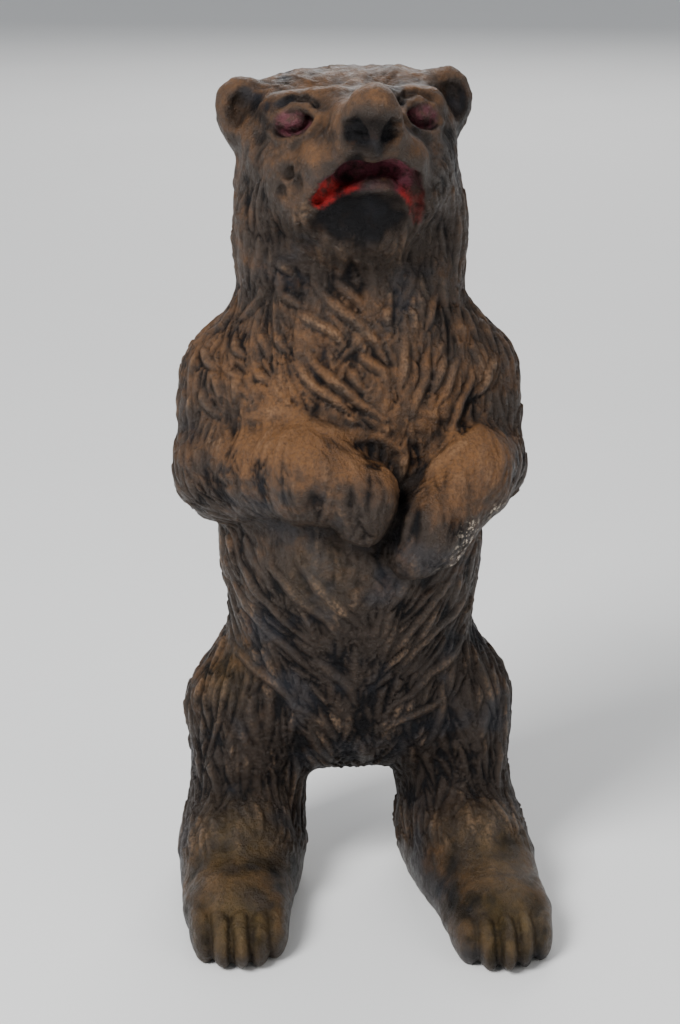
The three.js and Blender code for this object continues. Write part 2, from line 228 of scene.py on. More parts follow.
@dataclass(frozen=True)
class BearForm:
    """The masses of the bear, and how its head, arms and feet are set."""

    head_centre: Triple = (-0.9, 0, 138)
    head_turn: Triple = (0, -1.5, 3)
    left_step: float = 5.0
    splay: float = 2.2
    toe_pitch: float = 3.5
    eye: tuple[float, float] = (11.0, 150.2)
    eye_slant: float = 20.0

    def ear(self, side: int) -> Form:
        """A round ear with a dish in its front."""
        centre, turn = (side * 17.8, -1, 149.8), (0, side * 14, side * 10)
        dish = Ball((side * 18.6, -6.2, 151), (3.5, 4.2, 4.6), turn)
        return Form(Ball(centre, (5.4, 4.2, 6.8), turn), (Stage(dish, 1.2, Action.CARVE),))

    def skull(self) -> tuple[Stage, ...]:
        """Cheeks, temples and brows on the skull."""
        return (Stage(Ball((0, 0.5, 147.2), (15, 12.5, 9.2)), 5),) + on_both_sides(lambda side: (
            Stage(Ball((side * 13, -4, 130), (8.2, 10, 13)), 6),
            Stage(Ball((side * 12.5, -6, 145.5), (6.5, 7, 7)), 4),
            Stage(Ball((side * 9.6, -1, 149.6), (7.8, 8.6, 7)), 4),
            Stage(Ball((side * 9.2, -14.4, 140), (7.2, 8.6, 9)), 6),
            Stage(Ball((side * 5.4, -16.4, 146), (5, 7, 5)), 5),
            Stage(Limb((side * 4, -15, 153.2), (side * 13.6, -10.8, 152), 2.6, 2.4), 4),
        ))

    def mouth(self) -> Form:
        """The open mouth: an arch that runs down lower and narrower at the bear's left corner."""
        arch = ((-8.4, -23.4, 138, 1.1), (-5.6, -26, 141.2, 2.3), (-2.2, -27.6, 143, 2.9),
                (3, -27.6, 143.2, 2.9), (6.4, -26, 141.4, 2.5), (8.6, -24, 137.8, 1.3), (9.6, -22, 133, 0.9))
        lengths = tuple(Limb(a[:3], b[:3], a[3], b[3]) for a, b in zip(arch, arch[1:]))
        throat = Ball((0, -23.6, 142), (6, 3.2, 2.6))
        return Form(lengths[0], tuple(Stage(length, 0.6) for length in lengths[1:]) + (Stage(throat, 1.5),))

    def muzzle(self) -> tuple[Stage, ...]:
        """Bridge, upper lip and lower jaw, then the open mouth between them."""
        lips = on_both_sides(lambda side: (
            Stage(Limb((side * 2.6, -27.4, 148), (side * 6.4, -24.4, 144), 3.5, 3), 4),
            Stage(Limb((side * 6.4, -24.4, 144), (side * 9.2, -19.6, 136), 3, 2.2), 4.5)))
        jaw = (Stage(Ball((0, -14.5, 132), (9.4, 8.8, 7)), 5), Stage(Ball((0, -18.2, 137), (7.8, 5.8, 3.4)), 3))
        bridge = Stage(Limb((0, -12, 146.5), (0, -27, 150.6), 7, 5.2), 5)
        return (bridge,) + lips + jaw + (Stage(self.mouth(), 0.9, Action.CARVE),)

    def nose(self, face: Form) -> tuple[Stage, ...]:
        """Lower lip and teeth, the nose pad, a groove and a ridge under it, and two hooked nostrils."""
        pad = (
            Stage(Limb((-6.4, -22.2, 138), (-2.4, -24, 139.4), 0.9, 1.1), 1.2),
            Stage(Limb((-2.4, -24, 139.4), (3.4, -24, 139.8), 1.3, 1.3), 1.2),
            Stage(Limb((3.4, -24, 139.8), (7, -21.8, 137.6), 1.2, 0.9), 1.2),
            Stage(Ball((1.6, -24.6, 140.2), (2.7, 1.6, 1.7)), 0.8),
            Stage(Ball((0, -27.2, 135), (6.4, 3.6, 2.6)), 2.4, Action.CARVE),
            Stage(Ball((0.6, -30, 152.4), (4.9, 3.6, 3.6)), 1.4),
            Stage(Ball((0.6, -30.8, 154.6), (3.9, 4, 3.6)), 1.2),
        )
        nosed = Form(face.first, face.stages + pad)
        hooks = on_both_sides(lambda side: strap(
            nosed, [(0.4 + side * x, z) for x, z in ((1.9, 150.6), (2.9, 152), (4.6, 151.6))],
            0.65, 0.1, 0.5, Action.CARVE))
        under = strap(nosed, [(-3.6, 149.8), (0.4, 149.3), (4.4, 149.8)], 0.8, 0.1, 0.9, Action.CARVE)
        ridge = strap(nosed, [(0.5, 151), (0.5, 147)], 1.0, 0.5, 0.6)
        return pad + under + hooks + ridge

    def eyes(self, face: Form) -> tuple[Stage, ...]:
        """Sunken almond sockets, eyeballs, lids and the crease under each brow."""
        x, z = self.eye
        depth = front_of(face, np.array([(-x, z), (x, z)], np.float32))
        stages: tuple[Stage, ...] = ()
        for side, y in zip(SIDES, depth):
            slant = (0, side * self.eye_slant, side * 22)
            stages += (Stage(Ball((side * x, float(y) - 0.6, z), (4.5, 3.0, 2.8), slant), 0.9, Action.CARVE),
                       Stage(Ball((side * x, float(y) + 2.9, z - 0.1), (3.3, 2.3, 2.1), slant), 0.4))
            crease, upper, lower = ([(side * px, pz) for px, pz in knots] for knots in (
                ((7.6, 152.8), (9.2, 154), (11.4, 153.9), (13.4, 152.6)),
                ((7, 151.2), (8.6, 152.4), (11, 152.6), (13.2, 151.4), (15, 148.6)),
                ((7, 151), (8.9, 148.8), (11.4, 147.4), (13.8, 147.2), (15, 148.4))))
            stages += strap(face, crease, 0.6, 0.1, 0.9, Action.CARVE)
            stages += strap(face, upper, 0.8, 0.35, 0.9) + strap(face, lower, 0.7, 0.35, 0.9)
        return stages

    def dents(self, face: Form) -> tuple[Stage, ...]:
        """Pits that the casting has in the bear's right cheek."""
        pits = ((-13.4, 142.6, 2.3, 1.1), (-11.8, 140.4, 0.9, 1.9), (-14.4, 139, 0.8, 1.2))
        depth = front_of(face, np.array(pits)[:, :2])
        return tuple(Stage(Ball((x, float(y) - 0.3, z), (rx, 1.0, rz), (0, 24, 0)), 0.9, Action.CARVE)
                     for (x, z, rx, rz), y in zip(pits, depth))

    def head(self) -> Form:
        """The whole head, turned a little to the bear's left."""
        face = Form(SKULL, self.skull() + self.muzzle())
        ears = on_both_sides(lambda side: (Stage(self.ear(side), 2.8),))
        return self.set_head(face.stages + self.nose(face) + self.eyes(face) + self.dents(face) + ears)

    def set_head(self, stages: tuple[Stage, ...]) -> Form:
        """A head made of stages on the skull, turned as it stands on the neck."""
        return Form(SKULL, stages, self.head_centre, self.head_turn, (0, 0, self.head_centre[2]))

    def trunk(self) -> tuple[Stage, ...]:
        """Belly, hips and neck ruff on the chest, and the stub of a tail."""
        return (
            Stage(Ball((0, -1, 68), (25, 22.5, 26)), 10),
            Stage(Ball((0, 2, 42), (24.5, 20.5, 21)), 10),
            Stage(Ball((0, 0, 118), (19.5, 17, 20)), 9),
            Stage(Ball((0, 21.5, 37), (4.2, 3.6, 5)), 3),
        )

    def arms(self) -> tuple[Stage, ...]:
        """Upper arms, then the right forearm, with the left one passing under it."""
        upper = on_both_sides(lambda side: (
            Stage(Limb((side * 22.5, 2, 100), (side * 25, -2, 84), 9, 8), 6),))
        right = Form(Limb((-24.5, -6, 84), (-9, -20, 88), 9, 9.2), (
            Stage(Limb((-9, -21, 87), (0, -25, 85), 8, 6.2), 3),
            Stage(Ball((0, -25, 80), (4.5, 4.5, 5)), 3),
        ))
        left = Form(Limb((24.5, -5, 84), (20, -15, 86), 8.2, 8.5), (
            Stage(Limb((20, -16, 84), (12.5, -22.5, 77.5), 8, 6.8), 3),
            Stage(Limb((12.5, -22.5, 77.5), (9.6, -23, 73), 6.6, 5), 3),
            Stage(Ball((12.6, -22.6, 73.4), (5.6, 4.4, 4)), 2),
        ))
        return upper + (Stage(right, 3), Stage(left, 2.2))

    def leg(self, side: int) -> Iterable[Stage]:
        """Thigh, ankle, foot and five toes."""
        step = self.left_step if side > 0 else 0.0
        middle = side * (21.6 + self.splay) + 0.15 * step
        yield Stage(Limb((side * 19, 1, 34), (side * 20.5, -1 - step * 0.3, 16), 13, 10.5), 6)
        yield Stage(Limb((side * 21, 2, 10), (side * 22, -12 - step, 9), 11, 10), 5)
        yield Stage(Limb((side * 22, -6, 5), (middle, -28.6 - step, 4.6), 11.9, 10.2, 0.78), 5)
        for place in range(-2, 3):
            toe = (middle + place * self.toe_pitch, -39 - step + 0.95 * place**2, 4.5 - 0.3 * abs(place))
            yield Stage(Ball(toe, (2.3, 6.3, 4.5), (14, 0, -place * 5)), 0.6)

    def fine(self, head: Form) -> Form:
        """Everything that the outside shows."""
        return Form(CHEST, self.trunk() + (Stage(head, 6),) + self.arms() + on_both_sides(self.leg))

    def plain(self) -> Form:
        """The form that the hollow follows, without the small features of the face and feet."""
        head = self.set_head(self.skull() + self.muzzle())
        legs = on_both_sides(lambda side: tuple(self.leg(side))[:3])
        return Form(CHEST, self.trunk() + (Stage(head, 6),) + self.arms() + legs)


@dataclass(frozen=True)
class Inset:
    """A form shrunk all over by a depth, and kept a least depth within what the outside shows."""

    form: Form
    depth: float
    outside: Form
    least: float = 2.4

    def distance(self, points: np.ndarray) -> np.ndarray:
        """The higher of the form's distance plus the depth and the outside's distance plus the least depth."""
        return np.maximum(self.form.distance(points) + self.depth, self.outside.distance(points) + self.least)


# ------------------------------------------------------------------ surface of a form


@dataclass
class Surface:
    """Vertices in millimetres and faces as rows of vertex numbers."""

    points: np.ndarray
    faces: np.ndarray


LATTICE_BOX = (np.float32((-40, -52, -6)), np.float32((40, 31, 163)))
CORNERS = np.array([(n & 1, (n >> 1) & 1, n >> 2) for n in range(8)])
EDGES = [(a, b) for a in range(8) for b in range(a + 1, 8) if np.abs(CORNERS[a] - CORNERS[b]).sum() == 1]


def lattice_field(form: Mass, step: float, coarse: int = 4) -> np.ndarray:
    """Distances on a lattice: everywhere at a coarse step, and again at the fine step near the surface."""
    low, high = LATTICE_BOX
    count = np.ceil((high - low) / (step * coarse)).astype(int) + 1
    axes = [low[n] + step * coarse * np.arange(count[n], dtype=np.float32) for n in range(3)]
    rough = form.distance(np.stack(np.meshgrid(*axes, indexing="ij"), -1).reshape(-1, 3)).reshape(count)
    fine = rough
    for axis in range(3):
        fine = np.repeat(fine, coarse, axis=axis)
    near = np.argwhere(np.abs(fine) < step * coarse * 1.9)
    at = low + np.float32(step) * near.astype(np.float32)
    fine[tuple(near.T)] = form.distance(at)
    return fine


def level_surface(form: Mass, step: float) -> Surface:
    """The surface where a form's field is zero.

    Each lattice cell that the surface crosses gets one vertex, at the mean of the crossings on its twelve
    edges, moved along the slope onto the surface. Each lattice edge that the surface crosses gets one
    four-sided face between the vertices of the four cells round it.

    Args:
        form: the field to follow.
        step: the lattice step in millimetres.

    Returns:
        The closed surface, with faces that point outwards.
    """
    depth = lattice_field(form, step)
    inside = depth < 0
    full = sum(inside[tuple(slice(c, c + n - 1) for c, n in zip(corner, depth.shape))].astype(np.int8)
               for corner in CORNERS)
    cells = np.argwhere((full > 0) & (full < 8))
    values = np.stack([depth[tuple((cells + corner).T)] for corner in CORNERS], axis=1)
    total = np.zeros((len(cells), 3), np.float32)
    hits = np.zeros(len(cells), np.float32)
    for a, b in EDGES:
        va, vb = values[:, a], values[:, b]
        crossed = (va < 0) != (vb < 0)
        share = np.where(crossed, va / np.where(crossed, va - vb, 1), 0)[:, None]
        total += np.where(crossed[:, None], CORNERS[a] + share * (CORNERS[b] - CORNERS[a]), 0)
        hits += crossed
    points = LATTICE_BOX[0] + step * (cells + total / hits[:, None])
    points = points.astype(np.float32)
    normals = slope_of(form, points)
    reach = np.clip(form.distance(points), -0.35 * step, 0.35 * step)
    points = points - normals * reach[:, None]

    number = np.full([n - 1 for n in depth.shape], -1, np.int32)
    number[tuple(cells.T)] = np.arange(len(cells), dtype=np.int32)
    faces = []
    for axis in range(3):
        u, v = np.eye(3, dtype=int)[(axis + 1) % 3], np.eye(3, dtype=int)[(axis + 2) % 3]
        ahead = tuple(slice(1, None) if n == axis else slice(None) for n in range(3))
        behind = tuple(slice(None, -1) if n == axis else slice(None) for n in range(3))
        low_end = np.argwhere(inside[behind] != inside[ahead])
        low_end = low_end[(low_end >= 1).all(1) & (low_end < np.array(number.shape)).all(1)]
        ring = [number[tuple((low_end - a * u - b * v).T)] for a, b in ((0, 0), (1, 0), (1, 1), (0, 1))]
        quads = np.stack(ring, axis=1)
        outward = inside[tuple(low_end.T)]
        faces.append(np.where(outward[:, None], quads, quads[:, ::-1]))
    return Surface(points, np.concatenate(faces))


def outward(surface: Surface) -> Surface:
    """A closed surface with its faces turned outwards, judged by the sign of the volume they bound."""
    a, b, c = (surface.points[surface.faces[:, n]].astype(float) for n in range(3))
    if surface.faces.shape[1] == 4:
        d = surface.points[surface.faces[:, 3]].astype(float)
        volume = np.einsum("ij,ij->", a, np.cross(b, c)) + np.einsum("ij,ij->", a, np.cross(c, d))
    else:
        volume = np.einsum("ij,ij->", a, np.cross(b, c))
    return surface if volume > 0 else Surface(surface.points, surface.faces[:, ::-1])


def mesh_piece(name: str, surface: Surface, closed: bool = True) -> bpy.types.Object:
    """A smooth-shaded object from a surface, in metres in the frame of the solids."""
    if closed:
        surface = outward(surface)
    mesh = bpy.data.meshes.new(name)
    placed = (surface.points + np.float32((0, PARTING_Y, 0))) * MM
    count, sides = surface.faces.shape
    mesh.vertices.add(len(placed))
    mesh.vertices.foreach_set("co", placed.astype(np.float32).ravel())
    mesh.loops.add(count * sides)
    mesh.loops.foreach_set("vertex_index", surface.faces.astype(np.int32).ravel())
    mesh.polygons.add(count)
    mesh.polygons.foreach_set("loop_start", np.arange(0, count * sides, sides, dtype=np.int32))
    mesh.update(calc_edges=True)
    mesh.validate()
    mesh.shade_smooth()
    piece = bpy.data.objects.new(name, mesh)
    bpy.context.scene.collection.objects.link(piece)
    return piece


def points_of(piece: bpy.types.Object) -> np.ndarray:
    """A piece's vertices in the form's own millimetres."""
    flat = np.zeros(len(piece.data.vertices) * 3, np.float32)
    piece.data.vertices.foreach_get("co", flat)
    return flat.reshape(-1, 3) / MM - np.float32((0, PARTING_Y, 0))


# ------------------------------------------------------------------ cutting and joining


class Cut(Enum):
    """The three ways to combine two closed meshes."""

    TAKE_AWAY = "DIFFERENCE"
    KEEP_WITHIN = "INTERSECT"
    ADD = "UNION"


def bake_modifiers(piece: bpy.types.Object) -> None:
    """Makes what a piece's modifiers show its own mesh, and drops them."""
    bpy.context.view_layer.update()
    shown = piece.evaluated_get(bpy.context.evaluated_depsgraph_get())
    mesh = bpy.data.meshes.new_from_object(shown)
    old = piece.data
    piece.modifiers.clear()
    piece.data = mesh
    bpy.data.meshes.remove(old)


def combine(piece: bpy.types.Object, tool: bpy.types.Object, cut: Cut) -> None:
    """Cuts or joins a piece with a tool, and removes the tool."""
    for solver in ("MANIFOLD", "EXACT"):
        modifier = piece.modifiers.new("cut", "BOOLEAN")
        modifier.operation, modifier.object, modifier.solver = cut.value, tool, solver
        bpy.context.view_layer.update()
        shown = piece.evaluated_get(bpy.context.evaluated_depsgraph_get())
        changed = len(shown.data.vertices) not in (0, len(piece.data.vertices))
        if changed or solver == "EXACT":
            break
        log.info("%s: the quick solver can't take %s", piece.name, tool.name)
        piece.modifiers.clear()
    bake_modifiers(piece)
    mesh = tool.data
    bpy.data.objects.remove(tool)
    bpy.data.meshes.remove(mesh)


def block(name: str, low: Triple, high: Triple) -> bpy.types.Object:
    """A box between two corners."""
    corners = np.float32(low) + CORNERS * (np.float32(high) - np.float32(low))
    faces = np.array([(0, 4, 6, 2), (1, 3, 7, 5), (0, 1, 5, 4), (2, 6, 7, 3), (0, 2, 3, 1), (4, 5, 7, 6)])
    return mesh_piece(name, Surface(corners, faces))


def slab(name: str, bottom: float = -5, front: float = -90, back: float = 80) -> bpy.types.Object:
    """A block wider and higher than the bank, between a bottom, a front and a back."""
    return block(name, (-80, front, bottom), (80, back, 200))


def sweep_faces(rings: int, sides: int, closed: bool = True) -> np.ndarray:
    """Triangles over rings of points, with a fan at each end.

    Args:
        rings: how many rings there are; their points come first.
        sides: points in a ring.
        closed: whether the far end has a fan too; the end points follow the rings.

    Returns:
        Rows of three vertex numbers.
    """
    ring = np.arange(sides)
    step = np.roll(ring, -1)
    starts = np.arange(rings - 1)[:, None] * sides
    walls = np.stack([starts + ring, starts + sides + ring, starts + sides + step, starts + step], -1)
    walls = walls.reshape(-1, 4)
    end, last = rings * sides, (rings - 1) * sides
    faces = [walls[:, [0, 1, 2]], walls[:, [0, 2, 3]], np.stack([np.full(sides, end), ring, step], 1)]
    if closed:
        faces.append(np.stack([np.full(sides, end + 1), last + step, last + ring], 1))
    return np.concatenate(faces)


def turned(name: str, profile: Sequence[tuple[float, float]], sides: int = 48) -> bpy.types.Object:
    """A profile of (radius, y) pairs swept round the screw's axis, with its two ends on that axis.

    Each ring's point is the radius times the cosine and the sine of the angle, at the profile's y.
    """
    radii, along = np.array(profile, np.float32).T
    angle = np.linspace(0, 2 * np.pi, sides, endpoint=False)
    count = len(radii) - 2
    rings = np.stack([radii[1:-1, None] * np.cos(angle), np.broadcast_to(along[1:-1, None], (count, sides)),
                      radii[1:-1, None] * np.sin(angle) + SCREW_AXIS_Z], axis=-1).reshape(-1, 3)
    ends = np.float32([(0, along[0], SCREW_AXIS_Z), (0, along[-1], SCREW_AXIS_Z)])
    points = np.concatenate([rings, ends]).astype(np.float32)
    return mesh_piece(name, Surface(points, sweep_faces(count, sides)))


# ------------------------------------------------------------------ fur


@dataclass(frozen=True)
class Guide:
    """Which way the fur lies near a place; a guide off the middle also serves the other side."""

    place: Triple
    lie: Triple


FUR_GUIDES = tuple(Guide(*row) for row in (
    ((6, -14, 155), (0.8, 0.5, -0.1)), ((12, 2, 156), (0.6, 0.8, -0.2)),
    ((0, 4, 157), (0, 1, 0)), ((17, -9, 146), (0.3, 0.5, -0.9)),
    ((8, -20, 148), (0.8, 0.7, -0.3)), ((13, -14, 140), (0.4, 0.5, -0.8)),
    ((14, -13, 128), (0, 0.2, -1)), ((20, -2, 132), (0, 0.3, -1)),
    ((6, -20, 130), (0.1, 0.2, -1)), ((0, 16, 148), (0, 0.2, -1)),
    ((0, 17, 125), (0, 0, -1)), ((17, 8, 120), (0.3, 0.1, -1)),
    ((22, -4, 112), (0.5, -0.1, -0.85)), ((29, 2, 104), (0.3, -0.1, -0.95)),
    ((12, -16, 106), (-0.28, 0, -1)), ((20, -12, 103), (-0.38, 0, -0.92)),
    ((3, -19, 106), (0, 0, -1)), ((34, -2, 88), (0, -0.25, -1)),
    ((30, -8, 78), (-0.2, -0.6, -0.7)), ((0, 23, 100), (0, 0, -1)),
    ((20, 16, 95), (0.15, 0, -1)), ((20, 16, 70), (-0.1, 0, -1)),
    ((0, -23, 64), (0, 0, -1)), ((12, -20, 66), (-0.55, 0, -0.8)),
    ((22, -12, 64), (-0.5, -0.3, -0.85)), ((15, -19, 58), (-0.68, 0, -0.74)),
    ((10, -19, 48), (-0.75, 0, -0.66)), ((21, -14, 54), (-0.6, -0.1, -0.75)),
    ((26, 0, 62), (-0.05, -0.25, -1)),
    ((16, -16, 50), (-0.7, 0, -0.65)), ((5, -19, 44), (-0.5, 0, -0.8)),
    ((28, -6, 44), (0.05, -0.1, -1)), ((20, -14, 38), (0, 0, -1)),
    ((30, 2, 34), (0, 0, -1)), ((22, -10, 25), (0, 0, -1)),
    ((22, 12, 25), (0, 0, -1)), ((0, 22, 60), (0, 0, -1)),
    ((24, -24, 13), (0.05, -0.95, -0.3)), ((33, -18, 8), (0.1, -0.8, -0.5)),
    ((14, -18, 8), (-0.1, -0.8, -0.5)), ((22, 13, 8), (0, 0.2, -1)),
    ((7, -22, 96), (0, 0.1, -1)),
))


@dataclass(frozen=True)
class Coat:
    """How the locks are cut in one region: a ball of influence, lock length, half width and height."""

    centre: Triple
    reach: float
    length: float
    half_width: float
    height: float


COATS: tuple[Coat, ...] = (
    Coat((0, -14, 148), 12, 8, 0.9, 0.14),
    Coat((0, 0, 155), 12, 14, 1.0, 0.36),
    Coat((-18, -3, 151), 7, 6, 1.0, 0.1),
    Coat((18, -3, 151), 7, 6, 1.0, 0.1),
    Coat((0, 12, 146), 14, 14, 1.3, 0.8),
    Coat((0, -8, 132), 16, 14, 1.45, 0.8),
    Coat((0, -4, 120), 18, 17, 1.8, 0.95),
    Coat((0, -12, 108), 18, 16, 1.9, 0.85),
    Coat((-30, -4, 98), 14, 15, 1.7, 0.75),
    Coat((30, -4, 98), 14, 15, 1.7, 0.75),
    Coat((-16, -22, 86), 13, 8, 1.2, 0.16),
    Coat((16, -22, 84), 13, 8, 1.2, 0.16),
    Coat((0, -20, 58), 24, 21, 1.7, 1.1),
    Coat((-24, -4, 38), 16, 19, 1.5, 0.95),
    Coat((24, -4, 38), 16, 19, 1.5, 0.95),
    Coat((-22, -4, 22), 12, 14, 1.4, 0.75),
    Coat((22, -4, 22), 12, 14, 1.4, 0.75),
    Coat((-24, -28, 7), 14, 8, 1.2, 0.06),
    Coat((24, -32, 7), 14, 8, 1.2, 0.06),
    Coat((0, 22, 100), 24, 19, 1.8, 1.1),
    Coat((0, 22, 60), 26, 20, 1.75, 1.05),
)

# The large locks that a modeller cut one by one on the front, as (x, z) pairs from root to tip.
CHEST_LOCKS: tuple[Line, ...] = (
    ((-15, 125), (-13, 124), (-11, 122)), ((-14, 119), (-12, 118), (-10, 117)),
    ((-9, 122), (-7, 120), (-4, 117), (-1, 115), (1, 113), (3, 111), (4, 108), (5, 105), (5, 102)),
    ((-5, 122), (-2, 120), (0, 118), (1, 116)), ((-12, 116), (-9, 115), (-5, 113), (-3, 111), (-4, 109)),
    ((-1, 109), (1, 108), (4, 106), (5, 102)), ((-2, 107), (-1, 104), (1, 102)),
    ((-12, 108), (-10, 105), (-8, 103), (-5, 101), (-1, 98)),
    ((-10, 110), (-8, 107), (-6, 105), (-3, 103), (0, 100), (3, 98), (5, 96)),
    ((-19, 105), (-17, 104), (-16, 103)), ((-22, 110), (-22, 108), (-20, 107)),
    ((-18, 112), (-17, 110), (-16, 107)), ((-15, 112), (-14, 110), (-13, 109)),
    ((-22, 104), (-22, 102), (-22, 98)), ((-26, 103), (-25, 100), (-25, 98)),
    ((-28, 101), (-28, 98), (-26, 96), (-24, 96)), ((-28, 107), (-27, 105), (-25, 104)),
    ((-22, 114), (-24, 111), (-27, 109)), ((6, 117), (5, 116), (5, 113)),
    ((8, 113), (8, 109), (8, 106), (7, 103), (7, 101)), ((14, 118), (13, 114), (12, 112)),
    ((13, 110), (12, 107), (12, 104), (10, 100), (9, 96)), ((16, 108), (15, 105), (13, 101)),
    ((19, 107), (17, 105), (16, 101), (14, 99)), ((25, 104), (24, 101), (22, 99)),
    ((21, 105), (21, 102), (19, 99), (17, 94), (14, 91)), ((20, 115), (21, 112), (23, 108)),
    ((23, 112), (25, 109), (27, 105)),
)
BELLY_LOCKS: tuple[Line, ...] = (
    ((-23, 72), (-22, 68), (-19, 63), (-15, 59), (-12, 56), (-7, 53)),
    ((-18, 71), (-15, 67), (-11, 63), (-6, 59), (-3, 54)),
    ((-24, 68), (-23, 63), (-20, 58), (-17, 55), (-13, 52), (-9, 48), (-5, 45)),
    ((-24, 50), (-22, 48), (-19, 46), (-15, 44), (-12, 40), (-7, 38)),
    ((-11, 70), (-7, 65), (-3, 61), (1, 57)), ((-9, 51), (-5, 48), (-2, 45), (0, 40)),
    ((23, 63), (19, 57), (15, 55), (10, 51), (6, 47)), ((19, 68), (15, 63), (12, 59), (8, 54), (5, 50)),
    ((23, 52), (19, 48), (14, 46), (10, 42), (5, 40)), ((17, 40), (13, 38), (8, 37), (4, 35)),
    ((9, 69), (7, 64), (5, 61)),
)
FOREARM_CRESTS: tuple[Line, ...] = (
    ((-23, 95), (-19, 97), (-15, 98), (-12, 98), (-8, 97), (-5, 96), (-1, 94.5), (2, 94), (5, 93), (8, 90)),
    ((10, 85), (13, 88), (16, 91), (21, 94), (25, 95)),
)


@dataclass
class Strips:
    """Many locks at once: their middle lines, surface normals, half widths and heights."""

    paths: np.ndarray
    normals: np.ndarray
    half_widths: np.ndarray
    heights: np.ndarray


